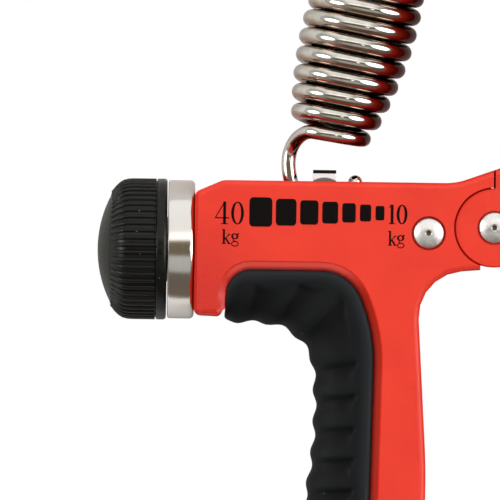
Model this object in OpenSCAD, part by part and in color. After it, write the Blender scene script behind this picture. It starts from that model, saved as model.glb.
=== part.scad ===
// Adjustable hand grip strengthener, lying on its flat rear side.
// X runs from the knob to the lever, Y up towards the spring, Z out of the front face.
// The zero point lies on the rear rest face of the housing, level with the main pivot.
// Sizes are in millimetres and angles in degrees.

/* [Overall] */
// thickness of the housing, from the rear rest face to the front face
body_thickness = 27; // [20:0.5:40]
// distance along X from the zero point to the main pivot
pivot_x = 30; // [20:1:40]
// distance from the main pivot to the neck face of the housing
housing_length = 57; // [50:0.5:72]
// height of the housing's top edge over the main pivot
housing_top = 8.4; // [7:0.1:12]
// depth of the neck's lower edge below the main pivot
neck_bottom = 17.4; // [15:0.1:22]
// distance from the main pivot down to the end of the handles
handle_length = 101; // [85:1:125]
// angle between the handles' inner faces at rest, all of it usable
grip_angle = 30; // [20:1:36]
// distance from the main pivot to the finger handle's inner face
finger_inner = 12.4; // [10:0.1:16]
// width of the finger handle at its neck
handle_width = 20.8; // [16:0.1:28]
// gap between the handles when they are squeezed shut
shut_gap = 1.2; // [0.6:0.1:4]

/* [Shells] */
// wall over the hollow of each shell
wall = 2.4; // [1.6:0.1:4]
// rounding of the shells' outer edges
edge_round = 1.2; // [0.4:0.1:2]
// width and depth of the chamfer where two shells meet
seam_chamfer = 0.2; // [0.1:0.05:0.4]
// how far the lever's faces lie under the housing's faces
lever_sink = 0.5; // [0.2:0.1:1.5]
// clearance between parts that move past each other
move_gap = 0.15; // [0.1:0.05:0.6]
// clearance of a piece that sits in its pocket
seat_gap = 0.05; // [0.02:0.01:0.2]

/* [Pivot] */
// radius of the lever's round knuckle cheeks
knuckle_radius = 7.55; // [6:0.05:12]
// thickness of the housing's tongue between the cheeks
tongue_thickness = 11; // [8:0.1:16]
// thickness of each washer between tongue and cheek
washer_thickness = 0.6; // [0.4:0.1:1.2]
// diameter of the pivot rivet's shank
pivot_diameter = 4; // [3:0.1:6]
// running clearance on the radius of every turning shaft
run_gap = 0.05; // [0.02:0.01:0.1]
// outer diameter of the bush in the tongue
bush_diameter = 7; // [6:0.1:9]
// diameter of a rivet's domed head
rivet_head = 5.8; // [4.6:0.1:8]
// diameter of the body rivet's and anchor pin's shank
rivet_diameter = 3.2; // [2.4:0.1:4.4]
// depth of the recess round a rivet head
rivet_recess = 1; // [0.5:0.1:2]
// height of a rivet's domed head
rivet_dome = 1.5; // [0.8:0.1:2]
// distance from the main pivot back to the body rivet
body_rivet_back = 12.5; // [11:0.1:16]
// depth of the body rivet below the main pivot
body_rivet_drop = 1.2; // [0:0.1:3]

/* [Pads] */
// width of the finger pad at its narrow part
pad_width = 10.5; // [8:0.1:16]
// how far the finger pad's faces lie under the housing's faces
pad_sink = 0.8; // [0.2:0.1:1.6]
// how far the pads stand out from the shells' edge
pad_proud = 0.5; // [0.2:0.1:1.2]
// thickness of the pads over the core, across the handle
pad_wall = 4; // [2.6:0.1:5]
// thickness of the pads' side flanges
pad_flange = 3.2; // [2.4:0.1:4.5]
// width of the pads' rounding, measured on the face
pad_round_wide = 7.5; // [4:0.1:9]
// depth of the pads' rounding, measured across the thickness
pad_round_deep = 5.5; // [3:0.1:8]
// distance between two grip ripples
ripple_pitch = 5.85; // [4:0.1:9]
// depth of a grip ripple
ripple_depth = 0.7; // [0.2:0.05:1.2]
// width of the bevel round a pad's recess
bevel_width = 1.7; // [0.6:0.1:2]
// height of the finger pad's upper edge below the main pivot
pad_top_drop = 8.6; // [8:0.05:10]

/* [Knob] */
// outer diameter of the ribbed knob
knob_diameter = 26.9; // [22:0.1:27]
// length of the knob over its cap
knob_length = 13.2; // [11:0.1:18]
// number of ribs round the knob
rib_count = 58; // [30:1:72]
// height of a rib over the drum
rib_height = 0.35; // [0.2:0.05:0.8]
// diameter of the knob's smooth cap
cap_diameter = 20.4; // [16:0.1:22]
// outer diameter of the steel ferrule ring
ferrule_diameter = 26.4; // [22:0.1:27]
// length of the ferrule along the screw
ferrule_length = 5.1; // [4:0.1:9]
// gap between the knob and the ferrule
knob_gap = 0.25; // [0.15:0.05:0.6]

/* [Screw and carriage] */
// depth of the screw's line below the main pivot
screw_drop = 4.9; // [4:0.1:6]
// outer diameter of the adjusting screw
screw_diameter = 6; // [5:0.1:7]
// advance of the carriage for one turn of the knob
screw_pitch = 1; // [0.8:0.1:1.5]
// distance from the main pivot back to the carriage's lug at rest
carriage_back = 32.4; // [30:0.1:35]
// carriage travel from rest towards the knob
travel_in = 12; // [8:0.5:13]
// carriage travel from rest towards the pivot
travel_out = 10; // [6:0.5:10]
// length of the carriage's nut along the screw
nut_length = 7; // [6:0.1:9]
// thickness of the carriage's lug along the screw
lug_length = 4.4; // [3:0.1:6]
// height of the lug's top over the housing's top edge
lug_rise = 2.2; // [1:0.1:4]

/* [Spring] */
// diameter of the spring wire
wire = 2.7; // [2:0.1:3.4]
// gap between two turns at rest
coil_gap = 0.8; // [0.44:0.01:1]
// whole turns on each side of the spring's middle
half_turns = 6; // [4:1:8]
// radius of the first turn, on the wire's centre line
end_radius = 6.1; // [5:0.1:8]
// radius of the middle turns, on the wire's centre line
middle_radius = 9.3; // [6:0.1:11]
// how quickly the barrel narrows towards its ends
barrel_power = 1.85; // [1:0.05:3]
// how far the end turns stand off from an even pitch
end_open = 0.5; // [0:0.05:1]
// radius of the end loops, on the wire's centre line
loop_radius = 5.8; // [5:0.1:7]
// sideways shift of the lower loop from the spring's line
loop_shift = 0.6; // [0:0.1:1]
// distance from a loop's centre to the first turn
hook_length = 9.83; // [9:0.01:14]
// height of the lower loop's centre over the main pivot
hook_height = 7.7; // [6:0.1:9]
// distance from the lug's middle back to the lower loop's centre
hook_back = 0.6; // [0:0.1:1]
// lean of the line between the two loops
spring_lean = 12.9; // [5:0.1:20]
// further lean of the coils against that line
coil_tilt = 1.8; // [0:0.1:4]

/* [Hidden] */
$fn = 48;

mid = body_thickness / 2;
neck_x = -housing_length;
finger_x = -finger_inner;
side_x = finger_x - handle_width;
foot_y = -handle_length;
lug_x = -carriage_back;
coil_pitch = wire + coil_gap;

// first turn starts this far round from the front of the coil
start_turn = 35;
last_turn = start_turn + 360 * half_turns;
coil_half = coil_pitch * last_turn / 360;
lower_loop = [lug_x - hook_back, hook_height];
force_line = [sin(spring_lean), cos(spring_lean)];
coil_middle = lower_loop + (coil_half + hook_length) * force_line;
anchor = lower_loop + 2 * (coil_half + hook_length) * force_line;
coil_axis = [sin(spring_lean + coil_tilt), cos(spring_lean + coil_tilt), 0];
coil_side = [coil_axis.y, -coil_axis.x, 0];

cheek_z = tongue_thickness / 2 + washer_thickness + 2 * run_gap;
lever_half = mid - lever_sink;
knuckle_cut = knuckle_radius + move_gap;
tongue_radius = knuckle_radius - 0.55;
shoulder_x = 0.1;
lip_x = shoulder_x - 0.35;
low_lip_x = -2.6;
low_shoulder = -74.5;

nut_half_y = screw_diameter / 2 + 2.4;
nut_half_z = screw_diameter / 2 + 2.6;
chamber_gap = 0.35;
nut_top = -screw_drop + nut_half_y - 1.1;
lug_half_z = wire / 2 + 2.45;
lug_top = housing_top + lug_rise;
slot_half_z = lug_half_z + 0.5;
loop_reach = loop_radius + wire / 2;
slot_left = lower_loop.x - travel_in - loop_reach - 0.95;
slot_right = lower_loop.x + travel_out + loop_reach + 1.65;
chamber_left = lug_x - travel_in - nut_length / 2 - 2;
chamber_right = lug_x + travel_out + nut_length / 2 + 0.5;
journal_diameter = screw_diameter - 2;
bush_outer = screw_diameter / 2 + 2;
collar_radius = screw_diameter / 2 + 1.6;
spigot_radius = ferrule_diameter / 2 - 2.65;
spigot_length = ferrule_length - 1.3;
ferrule_end = neck_x - ferrule_length;
knob_rim = ferrule_end - knob_gap;
knob_end = knob_rim - knob_length;
seat_diameter = screw_diameter - 1;
cap_depth = 2.45;

screw_head_radius = 2.7;
screw_shank_radius = 1.45;
finger_screw_x = finger_x - 4.7;
finger_screws = [[finger_screw_x, -31], [finger_screw_x, -62], [finger_screw_x - 1.5, foot_y + 5.5]];

function unit(v) = v / norm(v);
function turned(p, a) = [p.x * cos(a) - p.y * sin(a), p.x * sin(a) + p.y * cos(a)];
function on_lever(x, y, r) = concat(turned([x, y], grip_angle), [r]);
function xy(p) = [p[0], p[1]];

// arc that rounds the corner b between a and c, limited by the sides it joins
function corner(a, b, c, r, n) =
  let (u = unit(a - b), v = unit(c - b))
  let (half = acos(max(-0.9999, min(0.9999, u * v))) / 2)
  let (reach = min(r / tan(half), 0.48 * norm(a - b), 0.48 * norm(c - b)))
  let (rr = reach * tan(half), mid_point = b + unit(u + v) * rr / sin(half))
  let (s = b + u * reach - mid_point, e = b + v * reach - mid_point)
  let (a0 = atan2(s.y, s.x), sweep = (atan2(e.y, e.x) - a0 + 540) % 360 - 180)
  [for (k = [0:n]) mid_point + rr * [cos(a0 + sweep * k / n), sin(a0 + sweep * k / n)]];

// closed outline through corners given as [x, y, radius]
function outline(c, n = 5) =
  let (m = len(c))
  [for (i = [0:m - 1])
    let (a = xy(c[(i + m - 1) % m]), b = xy(c[i]), d = xy(c[(i + 1) % m]))
    each (c[i][2] > 0 ? corner(a, b, d, c[i][2], n) : [b])];

// open line through corners given as [x, y, radius]
function line_through(c, n = 6) =
  let (m = len(c))
  [for (i = [0:m - 1])
    each (i == 0 || i == m - 1 ? [xy(c[i])]
      : corner(xy(c[i - 1]), xy(c[i]), xy(c[i + 1]), c[i][2], n))];

// moves each point of a closed outline inward by d; the outline runs anticlockwise
function inset(p, d) =
  let (m = len(p))
  [for (i = [0:m - 1])
    let (e = unit(p[i] - p[(i + m - 1) % m]), f = unit(p[(i + 1) % m] - p[i]))
    let (a = [-e.y, e.x], b = [-f.y, f.x])
    p[i] + (a + b) * d / (1 + a * b)];

// running length along an open line
function lengths(p) =
  [for (i = 0, s = 0; i < len(p); s = s + (i + 1 < len(p) ? norm(p[i + 1] - p[i]) : 0), i = i + 1) s];

function point_at(p, l, s, i = 0) =
  i >= len(p) - 2 || l[i + 1] >= s
  ? p[i] + (p[i + 1] - p[i]) * (s - l[i]) / (l[i + 1] - l[i])
  : point_at(p, l, s, i + 1);

// solid between stacked outlines of equal point count, each given as [points, z]
module stack(layers) {
  m = len(layers[0][0]);
  n = len(layers);
  points = [for (q = layers) each [for (p = q[0]) [p.x, p.y, q[1]]]];
  bottom = [[for (i = [m - 1:-1:0]) i]];
  top = [[for (i = [0:m - 1]) (n - 1) * m + i]];
  sides = [for (j = [0:n - 2]) for (i = [0:m - 1])
    each [[j * m + i, j * m + (i + 1) % m, (j + 1) * m + (i + 1) % m],
          [j * m + i, (j + 1) * m + (i + 1) % m, (j + 1) * m + i]]];
  // the faces above wind the other way round from outside
  polyhedron(points, [for (f = concat(bottom, top, sides)) [for (i = [len(f) - 1:-1:0]) f[i]]]);
}

// slab with a rounded upper edge and a chamfered lower one, from z = 0 up to height h
module rounded_slab(p, h, r, n = 4) {
  stack(concat([[inset(p, seam_chamfer), 0], [p, seam_chamfer]],
    [for (k = [0:n]) [inset(p, r * (1 - cos(90 * k / n))), h - r + r * sin(90 * k / n)]]));
}

// keeps a free-form shape as one mesh
module free_form() {
  resize([0, 0, 0])
    children();
}

module at_pivot() {
  translate([pivot_x, 0, 0])
    children();
}

// the front half is modelled upward from the parting plane, the rear half is its mirror
module front_half() {
  translate([0, 0, mid])
    children();
}

module rear_half() {
  translate([0, 0, mid])
    mirror([0, 0, 1])
      children();
}

module along_screw(x) {
  translate([x, -screw_drop, mid])
    rotate([0, 90, 0])
      children();
}

// ---- outlines --------------------------------------------------------------

finger_grip = [
  [side_x - 1.2, -neck_bottom - 1.5, 11],
  [side_x + 0.1, -38, 120],
  [side_x - 3.6, foot_y * 0.64, 80],
  [side_x - 0.6, foot_y * 0.9, 45]
];

pad_left = neck_x + 5.8;
finger_outline = outline(concat(
  [[neck_x, -neck_bottom, 1.3],
   [pad_left - 0.9, -neck_bottom - 0.2, 1],
   [pad_left - 0.1, -neck_bottom + 1.3, 0.5]],
  finger_grip,
  [[side_x + 3.4, foot_y, 8],
   [finger_x - 5, foot_y, 7],
   [finger_x - 0.3, foot_y * 0.74, 90],
   [finger_x, -46, 140],
   [finger_x - 2.3, -9.1, 9.5],
   [3, -7.6, 1.4],
   [3, housing_top + 3.7, 1.4],
   [-7.4, housing_top, 12],
   [neck_x + 5.3, housing_top, 3],
   [neck_x, housing_top - 2.3, 1.3]]));

pad_inner_x = side_x + pad_width;
pad_end = foot_y + 8;
finger_pad_outline = outline([
  [pad_left, -neck_bottom - 8, 0.5],
  [pad_left - 3, -neck_bottom - 12, 0.5],
  [side_x - 14, pad_end, 0.5],
  [pad_inner_x - 3.2, pad_end, 6],
  [pad_inner_x - 0.6, foot_y * 0.66, 90],
  [pad_inner_x + 0.2, -20.5, 30],
  [pad_inner_x - 4.6, -pad_top_drop, 8],
  [pad_left + 0.8, -pad_top_drop, 4.4]], 6);

lever_grip = [
  on_lever(10.4, -24, 30),
  on_lever(14.2, foot_y * 0.66, 80),
  on_lever(11.2, foot_y * 0.9, 45)
];

palm_x = -finger_inner + shut_gap;
lever_outline = outline(concat(
  [on_lever(palm_x + 4, foot_y, 7),
   on_lever(8.2, foot_y, 8)],
  [for (i = [2:-1:0]) lever_grip[i]],
  [[27.6, 10, 70],
   [23, anchor.y - 3, 30],
   [anchor.x + 20, anchor.y + 11, 34],
   [anchor.x - 6.6, anchor.y + 7.2, 5.4],
   [anchor.x - 6.6, anchor.y - 6.2, 5.4],
   [anchor.x + 21, anchor.y - 8.6, 18],
   [10.4, housing_top + 25, 55],
   [4.4, housing_top + 4.2, 5],
   [-4, housing_top + 1.2, 1.4],
   [-4, -5, 1.4],
   [1.4, -8.8, 1.4],
   on_lever(-3.2, -14.4, 8),
   on_lever(palm_x, -25, 14)]));

palm_pad_outline = outline([
  on_lever(1.6, pad_end, 6),
  on_lever(24, pad_end, 0.5),
  on_lever(24, -28, 0.5),
  on_lever(6.5, -28, 6),
  on_lever(0.4, -41, 20)], 6);

lever_screws = [
  [19, 6],
  [17.5, anchor.y - 24],
  [anchor.x + 20, anchor.y + 0.8],
  turned([palm_x + 5.6, -46], grip_angle),
  turned([palm_x + 5.6, foot_y + 6], grip_angle)
];

// ---- rubber pads -----------------------------------------------------------

// grip surface: an open side line with ripples, rounded towards both faces
module grip_band(side, far, half, first_crest, wide, deep) {
  l = lengths(side);
  total = l[len(l) - 1];
  count = floor(total / (ripple_pitch / 6));
  base = [for (i = [0:count]) point_at(side, l, total * i / count)];
  normal = [for (i = [0:count])
    let (e = unit(base[min(count, i + 1)] - base[max(0, i - 1)])) [-e.y, e.x]];
  ripple = [for (i = [0:count])
    ripple_depth * (1 - cos(360 * (total * i / count - first_crest) / ripple_pitch)) / 2];
  rows = [for (k = [-4:4]) let (a = 22.5 * k)
    [wide * (1 - cos(a)) - pad_proud, sign(k) * (half - deep + deep * abs(sin(a))), 1 - pow(abs(sin(a)), 3)]];
  full = concat([for (k = [0:3]) rows[k]],
    [[rows[4][0], -(half - deep), 1], [rows[4][0], half - deep, 1]],
    [for (k = [5:8]) rows[k]]);
  stack([for (r = full)
    [concat([for (i = [0:count]) base[i] + normal[i] * (r[0] + ripple[i] * r[2])], far), r[1]]]);
}

finger_side = line_through(concat([[pad_left - 6, -neck_bottom - 0.6, 0]], finger_grip,
  [[side_x + 3.4, foot_y, 0]]));
finger_far = [[finger_x + 6, foot_y], [finger_x + 6, 5], [pad_left - 6, 5]];

palm_side = line_through(concat([on_lever(8.2, foot_y, 0)], [for (i = [2:-1:0]) lever_grip[i]],
  [[27.6, 10, 0]]));
palm_far = [[0, 10], xy(on_lever(-16, foot_y, 0))];

module core_2d(shape, pad) {
  intersection() {
    offset(delta = -pad_wall)
      polygon(shape);
    offset(delta = bevel_width)
      polygon(pad);
  }
}

module recess_cut(pad, face) {
  stack([
    [inset(pad, -seat_gap), -1],
    [inset(pad, -seat_gap), face - bevel_width * 0.85],
    [inset(pad, -seat_gap - 2 * bevel_width), face + bevel_width * 0.85]]);
}

module finger_pad() {
  color("dimgray")
    at_pivot()
      translate([0, 0, mid])
        free_form() difference() {
          intersection() {
            grip_band(finger_side, finger_far, mid - pad_sink, 8.6, pad_round_wide, pad_round_deep);
            translate([0, 0, -mid])
              linear_extrude(body_thickness)
                polygon(finger_pad_outline);
          }
          linear_extrude(2 * (mid - pad_sink - pad_flange + seat_gap), center = true)
            offset(delta = seat_gap)
              core_2d(finger_outline, finger_pad_outline);
        }
}

module palm_pad() {
  color("dimgray")
    at_pivot()
      translate([0, 0, mid])
        free_form() difference() {
          intersection() {
            grip_band(palm_side, palm_far, mid, 3, pad_round_wide, pad_round_deep);
            translate([0, 0, -mid])
              linear_extrude(body_thickness)
                polygon(palm_pad_outline);
          }
          linear_extrude(2 * (mid - pad_flange - lever_sink + seat_gap), center = true)
            offset(delta = seat_gap)
              core_2d(lever_outline, palm_pad_outline);
        }
}

// ---- finger handle ---------------------------------------------------------

module lever_room_2d() {
  circle(knuckle_cut, $fn = 92);
  translate([lip_x, 0])
    square([20, 30]);
  translate([low_lip_x, -20])
    square([20, 20]);
}

module tongue_2d() {
  circle(tongue_radius, $fn = 92);
  intersection() {
    circle(knuckle_cut + 0.3, $fn = 92);
    polygon([[0, 0], [-1, 12], [-14, 12], [-14, -12], [-4.2, -12]]);
  }
}

module tail_block_2d(left, gap) {
  offset(delta = gap)
    polygon([
      [left, -screw_drop - 3.5],
      [-body_rivet_back + 2.9, -screw_drop - 3.5],
      [-body_rivet_back + 2.9, -body_rivet_drop + 2.6],
      [-body_rivet_back - 3, -body_rivet_drop + 2.6],
      [left, -body_rivet_drop + 0.4]]);
}

// bays between the handle's cross ribs, each from one height to the next
module bays_2d(left, right, heights) {
  for (i = [0:2:len(heights) - 2])
    translate([left, heights[i + 1]])
      square([right - left, heights[i] - heights[i + 1]]);
}

// one shell of the finger handle, from the parting plane z = 0 out to its face
module finger_half() {
  core_top = mid - pad_sink - pad_flange;
  difference() {
    union() {
      free_form() difference() {
        union() {
          difference() {
            rounded_slab(finger_outline, mid, edge_round);
            recess_cut(finger_pad_outline, mid);
            translate([0, 0, -1])
              linear_extrude(mid + 2)
                lever_room_2d();
          }
          linear_extrude(core_top)
            core_2d(finger_outline, finger_pad_outline);
          linear_extrude(tongue_thickness / 2)
            tongue_2d();
        }
        // room for the nut, the lug and the loop, and the hollow of the handle
        translate([chamber_left, -screw_drop - nut_half_y - chamber_gap, -1])
          cube([chamber_right - chamber_left,
            nut_top + chamber_gap + screw_drop + nut_half_y + chamber_gap,
            nut_half_z + chamber_gap + 1]);
        translate([0, 0, -1])
          linear_extrude(slot_half_z + 1)
            polygon([
              [slot_left, housing_top + 9], [slot_left, hook_height - 3.7],
              [chamber_left, nut_top], [chamber_right, nut_top],
              [slot_right, hook_height - 3.7], [slot_right, housing_top + 9]]);
        translate([0, 0, -1])
          linear_extrude(tongue_thickness / 2 + 1)
            tail_block_2d(chamber_right - 1, seat_gap);
        translate([0, 0, -1])
          linear_extrude(core_top - wall + 1)
            bays_2d(side_x + pad_wall + wall, finger_screw_x - screw_head_radius - 1.7,
              [-25, -44, -49, foot_y * 0.74, foot_y * 0.79, foot_y + 9]);
      }
      intersection() {
        translate([neck_x - spigot_length, -screw_drop, 0])
          rotate([0, 90, 0])
            cylinder(h = spigot_length + 1, r = spigot_radius, $fn = 92);
        translate([neck_x - spigot_length - 1, -50, 0])
          cube([spigot_length + 3, 100, mid]);
      }
    }
    // round seats of the screw's collar, its bush, the pivot bush and the rivet
    translate([neck_x + 0.7, -screw_drop, 0])
      rotate([0, 90, 0])
        cylinder(h = chamber_left - neck_x, r = collar_radius + 1.9);
    translate([neck_x - spigot_length - 1, -screw_drop, 0])
      rotate([0, 90, 0])
        cylinder(h = spigot_length + 3, r = bush_outer + seat_gap);
    translate([0, 0, -1])
      cylinder(h = mid, r = bush_diameter / 2 + seat_gap);
    translate([-body_rivet_back, -body_rivet_drop, -1])
      cylinder(h = mid + 2, r = rivet_diameter / 2 + seat_gap);
  }
}

module finger_shell_front() {
  color("red")
    at_pivot()
      front_half()
        difference() {
          finger_half();
          translate([-body_rivet_back, -body_rivet_drop, mid - rivet_recess])
            cylinder(h = 3, r = rivet_head / 2 + 0.35);
          for (p = finger_screws)
            translate([p.x, p.y, -1])
              cylinder(h = 7.5, r = screw_shank_radius + 0.03);
        }
}

module finger_shell_rear() {
  color("firebrick")
    at_pivot()
      rear_half()
        difference() {
          finger_half();
          translate([-body_rivet_back, -body_rivet_drop, mid - rivet_dome - 0.3])
            cylinder(h = 3, r = rivet_head / 2 + 0.35);
          for (p = finger_screws)
            translate([p.x, p.y, -1]) {
              cylinder(h = mid + 2, r = screw_shank_radius + 0.15);
              translate([0, 0, mid - 3])
                cylinder(h = 6, r = screw_head_radius + 0.25);
            }
        }
}

// cross-head screw driven from the rear, head down
module case_screw(length) {
  difference() {
    union() {
      cylinder(h = 1.9, r = screw_head_radius);
      cylinder(h = length, r = screw_shank_radius);
    }
    translate([-1.5, -0.3, -0.1])
      cube([3, 0.6, 1]);
    translate([-0.3, -1.5, -0.1])
      cube([0.6, 3, 1]);
  }
}

module finger_shell_screws() {
  color("gray")
    at_pivot()
      for (p = finger_screws)
        translate([p.x, p.y, 1.05])
          case_screw(mid + 4.5);
}

module ferrule() {
  r = ferrule_diameter / 2;
  color("silver")
    at_pivot()
      along_screw(ferrule_end)
        difference() {
          rotate_extrude($fn = 120)
            polygon(concat(
              [[bush_outer + 1.4, 0], [r - 0.3, 0], [r, 0.3]],
              [for (k = [0:5]) [r - 1 + cos(18 * k), ferrule_length - 1 - 0.05 + sin(18 * k)]],
              [[spigot_radius + seat_gap, ferrule_length - 0.05],
               [spigot_radius + seat_gap, ferrule_length - spigot_length - seat_gap],
               [bush_outer + 1.4, ferrule_length - spigot_length - seat_gap]]));
        }
}

module screw_bush() {
  color("goldenrod")
    at_pivot()
      along_screw(ferrule_end + 0.05)
        difference() {
          union() {
            cylinder(h = ferrule_length + 1, r = bush_outer);
            translate([0, 0, ferrule_length + 0.75])
              cylinder(h = 0.9, r = collar_radius + 1.6);
          }
          translate([0, 0, -1])
            cylinder(h = ferrule_length + 4, r = screw_diameter / 2 + run_gap);
        }
}

module tail_block() {
  color("tan")
    at_pivot()
      difference() {
        translate([0, 0, mid - tongue_thickness / 2 + seat_gap])
          linear_extrude(tongue_thickness - 2 * seat_gap)
            tail_block_2d(chamber_right + 0.1, 0);
        along_screw(chamber_right - 1)
          cylinder(h = -body_rivet_back - rivet_diameter / 2 - 0.3 - chamber_right + 1,
            r = journal_diameter / 2 + run_gap);
        translate([-body_rivet_back, -body_rivet_drop, 0])
          cylinder(h = body_thickness, r = rivet_diameter / 2 + seat_gap);
      }
}

// rivet with a low domed head at each end, standing from z = low to z = high
module domed_rivet(shank, low, high) {
  r = rivet_head / 2;
  big = (r * r + rivet_dome * rivet_dome) / (2 * rivet_dome);
  rotate_extrude($fn = 64)
    polygon(concat(
      [[0, low - rivet_dome + 0.35], [0.75, low - rivet_dome + 0.05]],
      [for (k = [3:9]) let (x = r * k / 9) [x, low - sqrt(big * big - x * x) + big - rivet_dome]],
      [[shank / 2, low + 0.02], [shank / 2, high - 0.02]],
      [for (k = [9:-1:3]) let (x = r * k / 9) [x, high + sqrt(big * big - x * x) - big + rivet_dome]],
      [[0.75, high + rivet_dome - 0.05], [0, high + rivet_dome - 0.35]]));
}

module body_rivet() {
  color("silver")
    at_pivot()
      translate([-body_rivet_back, -body_rivet_drop, 0])
        domed_rivet(rivet_diameter, rivet_dome + 0.3 - 0.02, body_thickness - rivet_recess + 0.02);
}

module pivot_bush() {
  color("lightsteelblue")
    at_pivot()
      translate([0, 0, mid])
        difference() {
          cylinder(h = tongue_thickness, r = bush_diameter / 2, center = true);
          cylinder(h = tongue_thickness + 2, r = pivot_diameter / 2 + run_gap, center = true);
        }
}

module pivot_washers() {
  color("white")
    at_pivot()
      for (z = [mid - cheek_z + run_gap, mid + cheek_z - run_gap - washer_thickness])
        translate([0, 0, z])
          difference() {
            cylinder(h = washer_thickness, r = tongue_radius - 0.6);
            translate([0, 0, -1])
              cylinder(h = washer_thickness + 2, r = pivot_diameter / 2 + run_gap);
          }
}

// ---- palm lever ------------------------------------------------------------

module lever_hollow_2d() {
  rotate(grip_angle)
    bays_2d(palm_x + 6 + screw_head_radius + 1.7, -palm_x - 6.5,
      [-38, -57, -62, foot_y * 0.77, foot_y * 0.82, foot_y + 9]);
  polygon([[14.8, 14], [22.6, 14], [22, anchor.y - 30], [14.8, anchor.y - 30]]);
  polygon([[13.6, anchor.y - 18.5], [18.6, anchor.y - 18.5], [11, anchor.y - 1], [6.6, anchor.y - 1]]);
}

module fork_room_2d() {
  circle(loop_reach + 2.35, $fn = 64);
  translate([-loop_reach - 6.35, -20])
    square([2 * loop_reach + 8.7, 20]);
}

module lever_half_shell() {
  core_top = mid - pad_flange - lever_sink;
  difference() {
    free_form() difference() {
      union() {
        difference() {
          rounded_slab(lever_outline, lever_half, edge_round);
          translate([0, 0, -1])
            linear_extrude(mid + 2)
              polygon([[shoulder_x, -shoulder_x * tan(-low_shoulder)], [shoulder_x, 30], [-30, 30], [-30, -10.6],
                11 * [cos(low_shoulder), sin(low_shoulder)]]);
          recess_cut(palm_pad_outline, lever_half);
        }
        linear_extrude(core_top)
          core_2d(lever_outline, palm_pad_outline);
        translate([0, 0, cheek_z])
          cylinder(h = lever_half - cheek_z - 0.25, r = knuckle_radius, $fn = 92);
        translate([0, 0, lever_half - 0.26])
          cylinder(h = 0.26, r1 = knuckle_radius, r2 = knuckle_radius - 0.26, $fn = 92);
      }
      translate([0, 0, -1])
        cylinder(h = cheek_z + 1, r = tongue_radius + 0.3, $fn = 92);
      translate([0, 0, -1])
        linear_extrude(core_top - wall + 1)
          lever_hollow_2d();
      translate([anchor.x, anchor.y, -1])
        linear_extrude(wire / 2 + 2.25 + 1)
          fork_room_2d();
    }
    for (p = [[0, 0, pivot_diameter], [anchor.x, anchor.y, rivet_diameter]])
      translate([p.x, p.y, -1])
        cylinder(h = mid + 2, r = p[2] / 2 + seat_gap);
  }
}

module lever_shell_front() {
  color("tomato")
    at_pivot()
      front_half()
        difference() {
          lever_half_shell();
          for (p = [[0, 0], anchor])
            translate([p.x, p.y, lever_half - rivet_recess + 0.4])
              cylinder(h = 3, r = rivet_head / 2 + 0.35);
          for (p = lever_screws)
            translate([p.x, p.y, -1])
              cylinder(h = 7.5, r = screw_shank_radius + 0.03);
        }
}

module lever_shell_rear() {
  color("indianred")
    at_pivot()
      rear_half()
        difference() {
          lever_half_shell();
          for (p = [[0, 0], anchor])
            translate([p.x, p.y, mid - rivet_dome - 0.3])
              cylinder(h = 3, r = rivet_head / 2 + 0.35);
          for (p = lever_screws)
            translate([p.x, p.y, -1]) {
              cylinder(h = mid + 2, r = screw_shank_radius + 0.15);
              translate([0, 0, mid - 3])
                cylinder(h = 6, r = screw_head_radius + 0.25);
            }
        }
}

module lever_shell_screws() {
  color("gray")
    at_pivot()
      for (p = lever_screws)
        translate([p.x, p.y, 1.05])
          case_screw(mid + 4.5);
}

module lever_rivet(shank) {
  domed_rivet(shank, rivet_dome + 0.3 - 0.02, mid + lever_half - rivet_recess + 0.4 + 0.02);
}

module pivot_rivet() {
  color("silver")
    at_pivot()
      lever_rivet(pivot_diameter);
}

module anchor_pin() {
  color("silver")
    at_pivot()
      translate(anchor)
        lever_rivet(rivet_diameter);
}

module anchor_roller() {
  color("lightsteelblue")
    at_pivot()
      translate([anchor.x, anchor.y, mid])
        difference() {
          cylinder(h = wire + 3.9, r = loop_radius - wire / 2 - 0.25, center = true);
          cylinder(h = wire + 6, r = rivet_diameter / 2 + run_gap, center = true);
        }
}

// ---- spring ----------------------------------------------------------------

function coil_radius(t) = middle_radius - (middle_radius - end_radius) * pow(abs(t), barrel_power);
function coil_point(a) =
  [coil_middle.x, coil_middle.y, 0] + coil_axis * (coil_pitch * a / 360 + end_open * sign(a) * pow(abs(a / last_turn), 4))
  + coil_radius(a / last_turn) * (sin(a) * coil_side + [0, 0, cos(a)]);
function bend(p, u, q, v, t) =
  p * (2 * t * t * t - 3 * t * t + 1) + u * (t * t * t - 2 * t * t + t)
  + q * (3 * t * t - 2 * t * t * t) + v * (t * t * t - t * t);

rings = 12;
wire_sides = 8;
first = coil_point(-last_turn);
first_way = unit(coil_point(-last_turn + 2) - first);
function loop_point(a, shift) =
  [lower_loop.x + shift + loop_radius * cos(a), lower_loop.y + loop_radius * sin(a), 0];
function hook(shift, turn, lead, way, pull) = concat(
  [loop_point(0, shift) + [0.2, 2, 0]],
  [for (k = [0:9]) loop_point(-(180 - turn) * k / 10, shift)],
  norm(lead) > 0 ? [loop_point(turn - 180, shift)] : [],
  [for (k = [0:11]) bend(loop_point(turn - 180, shift) + lead, way, first, pull * first_way, k / 12)]);
lower_hook = hook(loop_shift, 25, [0, 0, 0], 30 * [-sin(25), cos(25), 0], 8);
upper_hook = let (h = hook(0, 0, [-0.3, 3.4, 0], [0, 15, 0], 13)) [for (i = [len(h) - 1:-1:0])
  [2 * coil_middle.x - h[i].x, 2 * coil_middle.y - h[i].y, h[i].z]];
coil_steps = round(2 * last_turn / 360 * rings);
spring_line = concat(lower_hook,
  [for (i = [0:coil_steps]) coil_point(-last_turn + 2 * last_turn * i / coil_steps)], upper_hook);

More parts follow.
